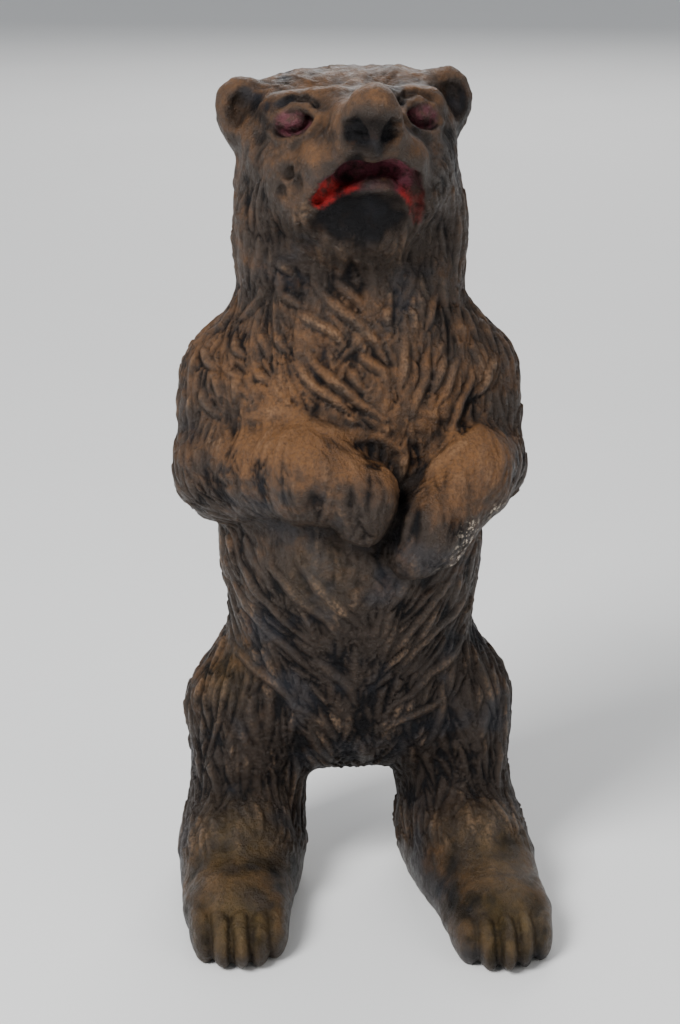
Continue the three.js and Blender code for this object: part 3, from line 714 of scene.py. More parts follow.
@dataclass
class Fur:
    """The relief of the coat, worked out on a form's own surface."""

    form: Form
    seed: int = 20
    spacing: float = 3.5
    stations: int = 12
    places: np.ndarray = field(init=False)
    lies: np.ndarray = field(init=False)

    def __post_init__(self) -> None:
        """Writes out the guides for both sides."""
        rows = [(guide.place, guide.lie) for guide in FUR_GUIDES]
        flip = np.float32((-1, 1, 1))
        self.places = np.float32([r[0] for r in rows] + [flip * r[0] for r in rows])
        self.lies = np.float32([r[1] for r in rows] + [flip * r[1] for r in rows])

    def settle(self, points: np.ndarray) -> tuple[np.ndarray, np.ndarray]:
        """Moves points onto the form's surface and gives the normals there."""
        for _ in range(3):
            normals = slope_of(self.form, points, 0.4)
            points = points - normals * np.clip(self.form.distance(points), -1, 1)[:, None]
        return points.astype(np.float32), normals.astype(np.float32)

    def lie(self, points: np.ndarray, normals: np.ndarray) -> np.ndarray:
        """Direction of the fur: the guides' mean, weighted by the inverse fourth power of their distance."""
        away = np.square(points[:, None, :] - self.places).sum(2) + 4
        mean = (1 / away**2) @ self.lies
        flat = mean - (mean * normals).sum(1, keepdims=True) * normals
        return flat / (np.linalg.norm(flat, axis=1, keepdims=True) + 1e-6)

    def coat(self, points: np.ndarray) -> np.ndarray:
        """Rows of length, half width and height, blended from the coats by how near each is."""
        centres = np.float32([c.centre for c in COATS])
        reaches = np.float32([c.reach for c in COATS])
        values = np.float32([(c.length, c.half_width, c.height) for c in COATS])
        share = np.exp(-np.square(points[:, None, :] - centres).sum(2) / reaches**2) + 1e-9
        return (share @ values) / share.sum(1, keepdims=True)

    def scattered(self, skin: Surface) -> Strips:
        """Locks rooted all over the skin, one to a box of the spacing, grown along the lie of the fur."""
        rng = np.random.default_rng(self.seed)
        candidates = skin.points[rng.permutation(len(skin.points))]
        candidates = candidates[candidates[:, 2] > 1.5]
        keys = np.floor(candidates / self.spacing).astype(np.int64)
        _, kept = np.unique(keys @ np.array([1, 1000, 1000000]), return_index=True)
        roots = candidates[np.sort(kept)]
        points, normals = self.settle(roots)
        size = self.coat(points) * rng.uniform((0.7, 0.75, 0.6), (1.3, 1.3, 1.25), (len(points), 3))
        sway = rng.normal(0, 0.14, len(points))
        curl = rng.normal(0, 0.05, len(points))
        path, sides = [points], [normals]
        for station in range(self.stations):
            forward = self.lie(points, normals)
            across = np.cross(normals, forward)
            bend = (sway + curl * (station - 3))[:, None]
            points, normals = self.settle(points + (forward + across * bend) * (size[:, :1] / self.stations))
            path.append(points)
            sides.append(normals)
        paths, sides = np.stack(path, 1), np.stack(sides, 1)
        order = np.argsort(paths[:, 0, 2])
        return Strips(paths[order], sides[order], size[order, 1], size[order, 2])

    def drawn(self, lines: Sequence[Sequence[tuple[float, float]]], half_width: float, height: float) -> Strips:
        """Locks laid on the front along (x, z) lines, evened out to the same number of stations."""
        rows = []
        for line in lines:
            knots = np.float32(line)
            run = np.concatenate([[0], np.cumsum(np.linalg.norm(np.diff(knots, axis=0), axis=1))])
            at = np.linspace(0, run[-1], self.stations + 1)
            rows.append(np.stack([np.interp(at, run, knots[:, 0]), np.interp(at, run, knots[:, 1])], 1))
        flat = np.float32(rows).reshape(-1, 2)
        points = np.stack([flat[:, 0], np.full(len(flat), -40), flat[:, 1]], 1).astype(np.float32)
        points[:, 1] = front_of(self.form, flat)
        points, normals = self.settle(points)
        shape = (len(lines), self.stations + 1, 3)
        return Strips(points.reshape(shape), normals.reshape(shape),
                      np.full(len(lines), half_width), np.full(len(lines), height))

    def press(self, skin: Surface, normals: np.ndarray, relief: np.ndarray, strips: Strips,
              edge_groove: float) -> None:
        """Lays strips over the relief, each covering what lies under it.

        Across a strip the height falls from its middle with the square of the offset to a groove at its
        edges. Along it, the width swells and then runs to a point, and the height grows towards the tip.

        Args:
            skin: the surface whose vertices carry the relief.
            normals: its normals.
            relief: heights at the vertices, changed in place.
            strips: the locks, in the order they are laid.
            edge_groove: depth of the groove at a strip's edges, as a share of its height.
        """
        order = np.argsort(skin.points[:, 2])
        sorted_points, sorted_normals = skin.points[order], normals[order]
        levels = sorted_points[:, 2]
        for path, sides, half_width, height in zip(strips.paths, strips.normals, strips.half_widths,
                                                   strips.heights):
            low, high = path.min(0) - half_width, path.max(0) + half_width
            first, last = np.searchsorted(levels, (low[2], high[2]))
            near = sorted_points[first:last]
            inside = ((near[:, :2] > low[:2]) & (near[:, :2] < high[:2])).all(1)
            inside &= sorted_normals[first:last] @ sides[len(sides) // 2] > 0.25
            rows = np.flatnonzero(inside)
            if not len(rows):
                continue
            near = near[rows]
            along = path[1:] - path[:-1]
            length = (along**2).sum(1) + 1e-9
            away = near[:, None, :] - path[:-1]
            share = np.clip((away * along).sum(2) / length, 0, 1)
            gap = away - share[..., None] * along
            nearest = (gap**2).sum(2).argmin(1)
            pick = np.arange(len(near))
            travel = (nearest + share[pick, nearest]) / len(along)
            offset = np.linalg.norm(gap[pick, nearest] - (gap[pick, nearest] * sides[nearest]).sum(1)[:, None]
                                    * sides[nearest], axis=1)
            taper = np.sqrt(np.clip(1 - travel**3, 0, 1)) * np.clip(0.5 + travel * 2, 0, 1)
            across = offset / (half_width * taper + 1e-3)
            cover = np.clip((1.1 - across) / 0.25, 0, 1) * np.clip(travel * 6, 0, 1)
            swell = 0.35 + 0.65 * np.sin(np.pi * np.clip(travel, 0, 1) ** 0.8)
            laid = height * (swell * (1 - across**2) - edge_groove)
            target = order[first:last][rows]
            relief[target] = relief[target] * (1 - cover) + laid * cover

    def relief(self, skin: Surface, normals: np.ndarray) -> np.ndarray:
        """Height of the whole coat at each vertex of the skin, in millimetres."""
        relief = np.zeros(len(skin.points), np.float32)
        strips = self.scattered(skin)
        log.info("fur: %d scattered locks", len(strips.paths))
        self.press(skin, normals, relief, strips, 0.45)
        self.press(skin, normals, relief, self.drawn(BELLY_LOCKS, 1.6, 0.9), 0.42)
        self.press(skin, normals, relief, self.drawn(CHEST_LOCKS, 1.5, 1.15), 0.42)
        self.press(skin, normals, relief, self.drawn(FOREARM_CRESTS, 1.8, 0.5), 0.0)
        return relief


def waves(points: np.ndarray, size: float, seed: int, count: int = 14) -> np.ndarray:
    """Soft unevenness between about -1 and 1: a sum of sine waves in fixed random directions."""
    rng = np.random.default_rng(seed)
    directions = rng.normal(size=(count, 3)) / size * 1.2
    phases = rng.uniform(0, 2 * np.pi, count)
    return np.sin(points @ directions.T.astype(np.float32) * 2 + phases).sum(1) / math.sqrt(count)


# ------------------------------------------------------------------ finishes


def ramp(value: np.ndarray, low: float, high: float) -> np.ndarray:
    """0 below low, 1 above high, and a smooth rise between."""
    share = np.clip((value - low) / (high - low), 0, 1)
    return share * share * (3 - 2 * share)


class Graph:
    """A short way to build one material's nodes."""

    def __init__(self, name: str) -> None:
        """Starts an empty material with its output and its shader."""
        self.material = bpy.data.materials.new(name)
        self.material.use_nodes = True
        self.tree = self.material.node_tree
        self.tree.nodes.clear()
        self.output = self.tree.nodes.new("ShaderNodeOutputMaterial")
        self.shader = self.tree.nodes.new("ShaderNodeBsdfPrincipled")
        self.tree.links.new(self.shader.outputs["BSDF"], self.output.inputs["Surface"])
        self.place = self.tree.nodes.new("ShaderNodeTexCoord").outputs["Object"]

    def node(self, kind: str, inputs: dict[str | int, object] | None = None,
             **settings: object) -> bpy.types.Node:
        """A node with its settings, and its inputs set to values or linked to sockets."""
        made = self.tree.nodes.new(kind)
        for key, value in settings.items():
            setattr(made, key, value)
        for key, value in (inputs or {}).items():
            if isinstance(value, bpy.types.NodeSocket):
                self.tree.links.new(value, made.inputs[key])
            else:
                made.inputs[key].default_value = value
        return made

    def noise(self, scale: float, detail: float = 3, roughness: float = 0.55) -> bpy.types.NodeSocket:
        """Noise on Object coordinates; scale is in lumps per metre."""
        return self.node("ShaderNodeTexNoise", {"Vector": self.place, "Scale": scale, "Detail": detail,
                                                "Roughness": roughness}).outputs["Fac"]

    def attribute(self, name: str) -> bpy.types.NodeSocket:
        """A number that the mesh carries at its vertices."""
        return self.node("ShaderNodeAttribute", attribute_name=name).outputs["Fac"]

    def math(self, operation: str, a: object, b: object = 0.0, clamp: bool = False) -> bpy.types.NodeSocket:
        """A Math node."""
        return self.node("ShaderNodeMath", {0: a, 1: b}, operation=operation, use_clamp=clamp).outputs[0]

    def times(self, a: object, b: object) -> bpy.types.NodeSocket:
        """A product."""
        return self.math("MULTIPLY", a, b)

    def shade(self, name: str, socket: bpy.types.NodeSocket) -> None:
        """Feeds one input of the shader."""
        self.tree.links.new(socket, self.shader.inputs[name])

    def remap(self, value: bpy.types.NodeSocket, low: float, high: float, to_low: float = 0.0,
              to_high: float = 1.0) -> bpy.types.NodeSocket:
        """A smooth clamped map from one range to another."""
        return self.node("ShaderNodeMapRange", {"Value": value, "From Min": low, "From Max": high,
                                                "To Min": to_low, "To Max": to_high},
                         interpolation_type="SMOOTHSTEP").outputs["Result"]

    def mix(self, share: object, a: object, b: object) -> bpy.types.NodeSocket:
        """A colour between two, by a share."""
        made = self.tree.nodes.new("ShaderNodeMix")
        made.data_type = "RGBA"
        for socket, value in ((made.inputs[0], share), (made.inputs[6], a), (made.inputs[7], b)):
            if isinstance(value, bpy.types.NodeSocket):
                self.tree.links.new(value, socket)
            else:
                socket.default_value = (*value, 1) if isinstance(value, tuple) else value
        return made.outputs[2]

    def bump(self, height: bpy.types.NodeSocket, depth: float, under: object = None) -> bpy.types.NodeSocket:
        """A bump of a depth in metres, on top of another one if given."""
        inputs: dict[str | int, object] = {"Height": height, "Strength": 1.0, "Distance": depth}
        if under is not None:
            inputs["Normal"] = under
        return self.node("ShaderNodeBump", inputs).outputs["Normal"]


@dataclass(frozen=True)
class AgedIron:
    """Sand-cast iron, dark brown: painted shade near black in hollows, orange-brown dust painted lighter facing
    up.
    """

    # near black: painted shade in the hollows, the fur's grooves and the inside, and the black chin and nose
    shade_and_black: Colour = (0.0045, 0.004, 0.0046)
    body: Colour = (0.034, 0.0188, 0.0095)
    # painted reflection: a blue-grey sheen
    painted_blue_sheen: Colour = (0.024, 0.026, 0.033)
    bronze: Colour = (0.16, 0.068, 0.019)
    olive: Colour = (0.10, 0.066, 0.023)
    # painted highlight on the crests of the fur
    painted_crest_highlight: Colour = (0.30, 0.185, 0.105)
    red: Colour = (0.33, 0.018, 0.018)
    # plum paint on the eyeballs, and painted shade in the top of the mouth
    plum_and_mouth_shade: Colour = (0.17, 0.04, 0.06)
    chip: Colour = (0.80, 0.68, 0.54)

    def build(self) -> bpy.types.Material:
        """Colour from the mesh's own numbers broken up by noise, over a sandy bump."""
        g = Graph("aged_iron")
        blotch, fleck, cloud = g.noise(230, 5, 0.62), g.noise(1700, 3, 0.6), g.noise(75, 3, 0.6)
        grit = g.remap(fleck, 0.34, 0.7)
        # painted shade: near black where the surface is closed in, in the grooves and inside, and darker
        # towards the bottom
        base = g.mix(g.attribute("shade_and_black"), self.body, self.shade_and_black)
        # painted reflection: a blue-grey sheen where there is little dust
        sheen = g.times(g.remap(cloud, 0.5, 0.66), g.remap(g.attribute("warm"), 0.5, 0.1, 0.0, 0.5))
        base = g.mix(sheen, base, self.painted_blue_sheen)
        # orange-brown dust by region, with painted top light: more of it where the surface faces up and is open
        dust_and_top_light = g.math("ADD", g.attribute("warm"), g.remap(blotch, 0.3, 0.72, -0.2, 0.18), clamp=True)
        dust_and_top_light = g.times(g.remap(dust_and_top_light, 0.12, 0.95), g.remap(fleck, 0.3, 0.62, 0.55, 1.0))
        colour = g.mix(dust_and_top_light, base, self.bronze)
        colour = g.mix(g.times(g.attribute("gilt"), g.remap(blotch, 0.3, 0.65, 0.25, 0.95)), colour, self.olive)
        # painted highlight: tan glints along the crests of the fur
        crest_highlight_share = g.times(g.attribute("crest"), grit)
        colour = g.mix(g.times(crest_highlight_share, g.remap(blotch, 0.35, 0.6, 0.12, 0.5)), colour, self.painted_crest_highlight)
        cover = g.times(g.attribute("paint"), g.remap(g.noise(520, 4, 0.7), 0.36, 0.6, 0.15, 0.95))
        # plum paint on the eyeballs; in the mouth the plum is painted shade under the upper lip
        paint = g.mix(g.attribute("plum_and_mouth_shade"), self.red, self.plum_and_mouth_shade)
        colour = g.mix(cover, colour, paint)
        speck = g.noise(950, 5, 0.8)
        chips = g.times(g.attribute("chips"), g.remap(speck, 0.56, 0.6))
        colour = g.mix(chips, colour, self.chip)
        g.shade("Base Color", colour)
        gloss = g.remap(g.noise(800, 4, 0.65), 0.3, 0.7, 0.27, 0.5)
        gloss = g.math("ADD", gloss, g.times(dust_and_top_light, 0.22))
        g.shade("Roughness", gloss)
        g.shader.inputs["Metallic"].default_value = 0.2
        g.shade("Specular IOR Level", g.remap(g.attribute("shade_and_black"), 0.1, 0.9, 0.5, 0.15))
        sand = g.bump(g.noise(2100, 5, 0.75), 0.00042)
        lumps = g.bump(g.noise(620, 4, 0.65), 0.0007, sand)
        g.shade("Normal", lumps)
        return g.material


@dataclass(frozen=True)
class OldSteel:
    """A plated screw that has gone dull and brown in patches of rust."""

    plate: Colour = (0.16, 0.14, 0.12)
    rust: Colour = (0.075, 0.032, 0.014)

    def build(self) -> bpy.types.Material:
        """Patches of rust over dull plating, with a fine pitted bump."""
        g = Graph("old_steel")
        patch = g.noise(900, 5, 0.65)
        share = g.remap(patch, 0.42, 0.6)
        g.shade("Base Color", g.mix(share, self.plate, self.rust))
        g.shade("Roughness", g.remap(patch, 0.35, 0.65, 0.34, 0.7))
        g.shade("Metallic", g.remap(patch, 0.42, 0.6, 0.9, 0.25))
        g.shade("Normal", g.bump(g.noise(2600, 3, 0.7), 0.00012))
        return g.material


@dataclass(frozen=True)
class PaleFloor:
    """A plain matt floor."""

    colour: Colour = (0.82, 0.81, 0.79)

    def build(self) -> bpy.types.Material:
        """One colour with a trace of unevenness in its gloss."""
        g = Graph("pale_floor")
        g.shader.inputs["Base Color"].default_value = (*self.colour, 1)
        g.shade("Roughness", g.remap(g.noise(9, 2), 0.3, 0.7, 0.6, 0.7))
        return g.material


# ------------------------------------------------------------------ the castings


def set_number(piece: bpy.types.Object, name: str, values: np.ndarray) -> None:
    """Stores one number at each vertex for the material to read."""
    made = piece.data.attributes.new(name, "FLOAT", "POINT")
    made.data.foreach_set("value", np.ascontiguousarray(values, np.float32))


# Where the iron holds dust: a place, its reach and how much, 1 for a surface covered with it.
DUST_SPOTS = (
    ((0, -18, 110), 16, 0.7), ((-20, -10, 108), 10, 0.68), ((22, -10, 106), 10, 0.5),
    ((-14, -20, 98), 8, 1.15), ((17, -19, 94), 7, 1.15), ((3, -21, 93), 6, 1.1),
    ((-14, -28, 88), 8, 0.75), ((19, -23, 86), 7, 0.8), ((14, -27, 76), 6, 0.3),
    ((-30, -4, 90), 9, 0.4), ((31, -4, 90), 9, 0.35), ((0, -12, 152), 13, 0.66),
    ((-14, -12, 138), 8, 0.5), ((14, -12, 138), 8, 0.3), ((-8, -16, 124), 8, 0.4),
    ((0, 0, 157), 10, 0.5), ((8, -16, 124), 8, 0.12), ((0, -22, 68), 12, 0.34),
    ((0, -20, 54), 14, 0.16), ((0, -14, 38), 14, 0.05), ((-28, -8, 48), 9, 0.55),
    ((-24, -10, 34), 9, 0.16), ((28, -8, 46), 9, 0.14), ((22, -10, 28), 13, 0.05),
    ((-22, -10, 22), 10, 0.08), ((-24, -28, 12), 10, 0.38), ((25, -32, 12), 10, 0.38),
    ((0, 22, 120), 22, 0.5), ((0, 22, 80), 26, 0.42), ((0, 20, 40), 24, 0.32),
)


@dataclass
class Castings:
    """The front and back half castings."""

    shape: BearForm = field(default_factory=BearForm)
    form: Form = field(init=False)
    head: Form = field(init=False)
    skin_step: float = 0.5
    hollow_step: float = 1.6
    most_triangles: int = 190_000
    post_tip_y: float = -1.6
    lugs: Line = ((96, 27.6), (40, 21.4))  # middle's height, outer face's x
    lug_thickness: float = 2.4
    lug_half_width: float = 3.5
    lug_reach: float = 3.6
    lug_root: float = 9
    slot_z: float = 107.0
    slot_width: float = 32.0
    slot_height: float = 4.6

    def __post_init__(self) -> None:
        """Works the forms out once."""
        self.head = self.shape.head()
        self.form = self.shape.fine(self.head)

    def skin(self) -> bpy.types.Object:
        """The whole outside, with its fur, closed under the feet."""
        form = self.form
        step = self.skin_step
        surface = level_surface(form, step)
        normals = slope_of(form, surface.points)
        fur = Fur(form).relief(surface, normals)
        bead = 0.22 * np.exp(-np.square(surface.points[:, 1] / 0.7))
        bead = bead * ramp(waves(surface.points, 2.2, 5), -0.6, 1)
        uneven = 0.2 * waves(surface.points, 6, 3) + 0.05 * waves(surface.points, 1.6, 4)
        furred, edge = self.trouser(surface.points)
        rise = fur * self.smooth_face(surface.points) * furred + edge + bead + uneven
        surface.points = surface.points + normals * rise[:, None].astype(np.float32)
        piece = mesh_piece("bear_skin", surface)
        combine(piece, slab("floor_cut", bottom=0), Cut.KEEP_WITHIN)
        log.info("skin: %d vertices", len(piece.data.vertices))
        return piece

    def trouser(self, points: np.ndarray) -> tuple[np.ndarray, np.ndarray]:
        """How much fur the legs carry, down to a ragged arch over each foot, and the lip along that arch."""
        x, y, z = points.T
        middle = np.where(x > 0, 22.5, -22)
        arch = np.where(x > 0, 16, 15) - 0.045 * (x - middle) ** 2 + 1.1 * waves(points, 3.5, 15)
        arch -= 5 * ramp(y, -14, 2)
        furred = np.where(z < 34, ramp(z - arch, -2.2, 1.4), 1)
        lip = 0.32 * furred * (1 - ramp(z - arch, 1, 9)) * (z < 34)
        return furred, lip

    def smooth_face(self, points: np.ndarray) -> np.ndarray:
        """How much fur a point carries: little on the muzzle, none in the mouth, eyes and toes."""
        reach = np.linalg.norm((points - np.float32((0, -26, 144))) / np.float32((12, 11, 13)), axis=1)
        muzzle = ramp(reach, 0.8, 1.3)
        centres = [np.float32((side * 11 - 0.9, -15, 150.2)) for side in SIDES]
        eyes = [ramp(np.linalg.norm(points - centre, axis=1), 5, 7) for centre in centres]
        return (0.15 + 0.85 * muzzle) * eyes[0] * eyes[1]

    def hollow(self) -> bpy.types.Object:
        """The inside: a wall's thickness within the plain form, flat over the soles, solid in the tail."""
        inset = Inset(self.shape.plain(), WALL, self.form)
        piece = mesh_piece("hollow", level_surface(inset, self.hollow_step))
        combine(piece, slab("sole_cut", bottom=WALL), Cut.KEEP_WITHIN)
        combine(piece, block("tail_fill", (-4, 20.1, 32), (4, 26, 42)), Cut.TAKE_AWAY)
        return piece

    def front(self, skin: bpy.types.Object, hollow: bpy.types.Object) -> bpy.types.Object:
        """The front half: skin before the parting, less the hollow, plus the post for the screw."""
        piece = self.copy_of(skin, "front_skin")
        combine(piece, slab("front_half", back=-JOINT_GAP / 2), Cut.KEEP_WITHIN)
        combine(piece, self.copy_of(hollow, "front_hollow"), Cut.TAKE_AWAY)
        tip = self.post_tip_y
        post = [(0, -21.5), (6.4, -21.5), (6.2, -12), (4.9, tip - 0.4), (4.5, tip), (0, tip)]
        combine(piece, turned("post", post), Cut.ADD)
        bore = [(0, -18), (2.14, -18), (2.14, tip - 0.5), (2.7, tip + 0.5), (0, tip + 0.5)]
        combine(piece, turned("post_bore", bore), Cut.TAKE_AWAY)
        return self.dress(piece)

    def back(self, skin: bpy.types.Object, hollow: bpy.types.Object) -> bpy.types.Object:
        """The back half: skin behind the parting, less the hollow, with its boss, screw seat and coin slot."""
        piece = self.copy_of(skin, "back_skin")
        combine(piece, slab("back_half", front=JOINT_GAP / 2), Cut.KEEP_WITHIN)
        combine(piece, self.copy_of(hollow, "back_hollow"), Cut.TAKE_AWAY)
        seat = SEAT_Y
        boss = [(0, seat - 7.5), (5.7, seat - 7.5), (6.2, seat - 7), (6.2, seat - 0.2), (0, seat - 0.2)]
        combine(piece, turned("boss", boss), Cut.ADD)
        hole = [(0, 4), (2.45, 4), (2.45, seat), (4.9, seat), (5.2, 40), (0, 40)]
        combine(piece, turned("hole", hole), Cut.TAKE_AWAY)
        combine(piece, self.slot_cutter(), Cut.TAKE_AWAY)
        for side in SIDES:
            for z, outer in self.lugs:
                for name, past, front, back in (("tongue", 0, -self.lug_reach, 1.2),
                                                ("root", 2.3, JOINT_GAP / 2, self.lug_root)):
                    low, high = sorted((side * (outer - self.lug_thickness), side * (outer + past)))
                    bottom, top = z - self.lug_half_width, z + self.lug_half_width
                    combine(piece, block(name, (low, front, bottom), (high, back, top)), Cut.ADD)
        return self.dress(piece)

    def slot_cutter(self) -> bpy.types.Object:
        """A bar with a stadium section that passes through the back wall.

        The section's points run round two half circles whose centres are half the straight length apart.
        """
        radius, straight = self.slot_height / 2, (self.slot_width - self.slot_height) / 2
        n = 48
        angle = np.linspace(-np.pi / 2, 1.5 * np.pi, n, endpoint=False)
        middle = np.where(np.cos(angle) >= 0, straight, -straight)
        ring = np.stack([middle + radius * np.cos(angle), np.zeros(n), self.slot_z + radius * np.sin(angle)], 1)
        points = np.concatenate([ring + (0, 10, 0), ring + (0, 40, 0)])
        around = np.arange(n)
        onward = np.roll(around, -1)
        fan = np.stack([np.zeros(n - 2, int), around[1:-1], around[2:]], 1)
        walls = [np.stack([around, onward, onward + n], 1), np.stack([around, onward + n, around + n], 1)]
        faces = np.concatenate([*walls, fan[:, ::-1], fan + n])
        return mesh_piece("slot_cutter", Surface(points.astype(np.float32), faces))

    def copy_of(self, piece: bpy.types.Object, name: str) -> bpy.types.Object:
        """A copy with its own mesh."""
        made = bpy.data.objects.new(name, piece.data.copy())
        bpy.context.scene.collection.objects.link(made)
        return made

    def dress(self, piece: bpy.types.Object) -> bpy.types.Object:
        """Thins the mesh where it is smooth, and stores the numbers that the finish reads."""
        triangles = sum(len(p.vertices) - 2 for p in piece.data.polygons)
        if triangles > self.most_triangles:
            thin = piece.modifiers.new("thin", "DECIMATE")
            thin.ratio = self.most_triangles / triangles
            bake_modifiers(piece)
        piece.data.shade_smooth()
        points = points_of(piece)
        normals = np.zeros(len(points) * 3, np.float32)
        piece.data.vertices.foreach_get("normal", normals)
        normals = normals.reshape(-1, 3)
        form = self.form
        height = form.distance(points)
        outside = ramp(height, -1.7, -1.1)
        far, near = (np.clip(form.distance(points + normals * reach) / reach, 0, 1) for reach in (3.5, 1.1))
        # how open the surface is: closed-in places get painted shade, and less dust and gilt
        room = (0.55 * far + 0.45 * near) * outside
        groove = ramp(-height + 0.1 * waves(points, 4, 8), 0.0, 0.5)
        # painted shade where the surface is closed in and in the grooves; the whole is darker towards the
        # bottom
        low_down = 1 - ramp(points[:, 2], 35, 95)
        shade_and_black = np.clip(1 - (0.85 - 0.3 * low_down) * room + (0.6 + 0.3 * low_down) * groove, 0, 1)
        facing_up = 0.45 + 0.55 * ramp(normals[:, 2], -0.35, 0.6)
        ragged = 0.6 * waves(points, 2.5, 12)
        # the chin's black is dark paint with a painted shadow under the lower lip; the nose's front is painted
        # darker
        chin = 0.9 * ramp(-Ball((-0.5, -24, 134), (7, 5.5, 4)).distance(points) + ragged, -2.6, 1.2)
        nose = 0.6 * ramp(-Ball((0, -33.5, 149.8), (4.4, 4, 3.2)).distance(points) + ragged, -1.8, 0.8)
        black = np.maximum(chin, nose)
        # dust by region, painted lighter where the surface faces up and is open and thinner in the grooves:
        # partly painted light
        warm = self.warmth(points) * facing_up * room**1.5 * (1 - 0.55 * groove) * (1 - black)
        set_number(piece, "warm", warm)
        set_number(piece, "shade_and_black", np.clip(shade_and_black + black, 0, 1))
        # painted highlight along the crests of the fur
        crest = ramp(height + 0.1 * waves(points, 9, 8), 0.18, 0.75)
        set_number(piece, "crest", crest * outside * (1 - 0.8 * black))
        # olive gold by region, painted brighter where the surface faces up and is open
        set_number(piece, "gilt", self.gilt(points) * room * facing_up)
        paint, plum_and_mouth_shade = self.paint(points)
        set_number(piece, "paint", outside * paint)
        set_number(piece, "plum_and_mouth_shade", plum_and_mouth_shade)
        set_number(piece, "chips", outside * self.chipped(points))
        piece.data.materials.clear()
        piece.data.materials.append(bpy.data.materials.get("aged_iron") or AgedIron().build())
        log.info("%s: %d triangles before thinning, %d faces", piece.name, triangles, len(piece.data.polygons))
        return piece

    def warmth(self, points: np.ndarray) -> np.ndarray:
        """How much dry orange-brown dust each region holds, blended between spots by how near each is."""
        centres, reaches, amounts = (np.float32(column) for column in zip(*DUST_SPOTS))
        share = np.exp(-np.square(points[:, None, :] - centres).sum(2) / reaches**2) + 1e-9
        return (share @ amounts) / share.sum(1)

    def gilt(self, points: np.ndarray) -> np.ndarray:
        """Where the rubbed metal turns olive gold: feet, toes and the outside of the right thigh."""
        spots = (((-24, -40, 7), 9, 0.9), ((26, -45, 7), 9, 0.9), ((-24, -22, 13), 9, 0.6),
                 ((25, -27, 13), 9, 0.55), ((-27, -10, 46), 7, 0.5), ((-8, -22, 68), 7, 0.3))
        near = (a * np.exp(-np.square(points - np.float32(c)).sum(1) / r**2) for c, r, a in spots)
        return np.clip(sum(near), 0, 1)

    def paint(self, points: np.ndarray) -> tuple[np.ndarray, np.ndarray]:
        """Where paint is, in the mouth, on the lower lip and on the eyeballs; and its plum tone, painted shade
        in the mouth.
        """
        at = (points - np.float32(self.head.centre)) @ turning(self.head.turn) + np.float32(self.head.base)
        mouth = ramp(-self.shape.mouth().distance(at), -0.55, -0.1)
        mouth *= 1 - 0.8 * ramp(at[:, 0], 7.4, 8.6)
        corner = ramp(-Limb((-8, -23.6, 137.2), (-3.6, -25, 139.6), 0.9, 0.7).distance(at), -0.4, 0.4)
        teeth = ramp(-Ball((1.8, -25.4, 139.8), (3.2, 2.4, 2.2)).distance(at), -0.5, 0.5)
        eyes = np.zeros(len(at), np.float32)
        x, z = self.shape.eye
        for side in SIDES:
            away = (at - np.float32((side * x, -14, z - 0.3))) / np.float32((3.6, 5, 2.6))
            gap = np.linalg.norm(away, axis=1)
            eyes = np.maximum(eyes, ramp(-gap, -1.1, -0.75))
        # painted shade: the top of the mouth, under the upper lip, turns dark plum
        deep = ramp(at[:, 2] + 0.18 * at[:, 0] + 0.6 * waves(at, 2.5, 11), 139.4, 141.0)
        plum_and_mouth_shade = np.clip(0.8 * eyes + deep, 0, 1)
        lip = np.maximum(mouth, corner) * (1 - 0.85 * teeth)
        return np.clip(lip + 0.6 * eyes, 0, 1), plum_and_mouth_shade

    def chipped(self, points: np.ndarray) -> np.ndarray:
        """Where pale ground shows through chips: the outer side of the left paw."""
        spots = (((24.2, -21, 80), 2.0), ((18.9, -25, 77.4), 2.2), ((17.8, -25.4, 75), 2.4),
                 ((15.8, -25, 72), 2.2))
        near = (np.exp(-np.square(points - np.float32(c)).sum(1) / r**2) for c, r in spots)
        return np.clip(sum(near) * 1.3, 0, 1)

    def build(self) -> None:
        """Makes both halves and sets them on their bodies."""
        skin, hollow = self.skin(), self.hollow()
        front, back = self.front(skin, hollow), self.back(skin, hollow)
        for spare in (skin, hollow):
            bpy.data.objects.remove(spare)
        for piece, body, node in ((front, "front", "front_casting"), (back, "back", "back_casting")):
            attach(piece, body)
            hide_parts(node)


# ------------------------------------------------------------------ the screw


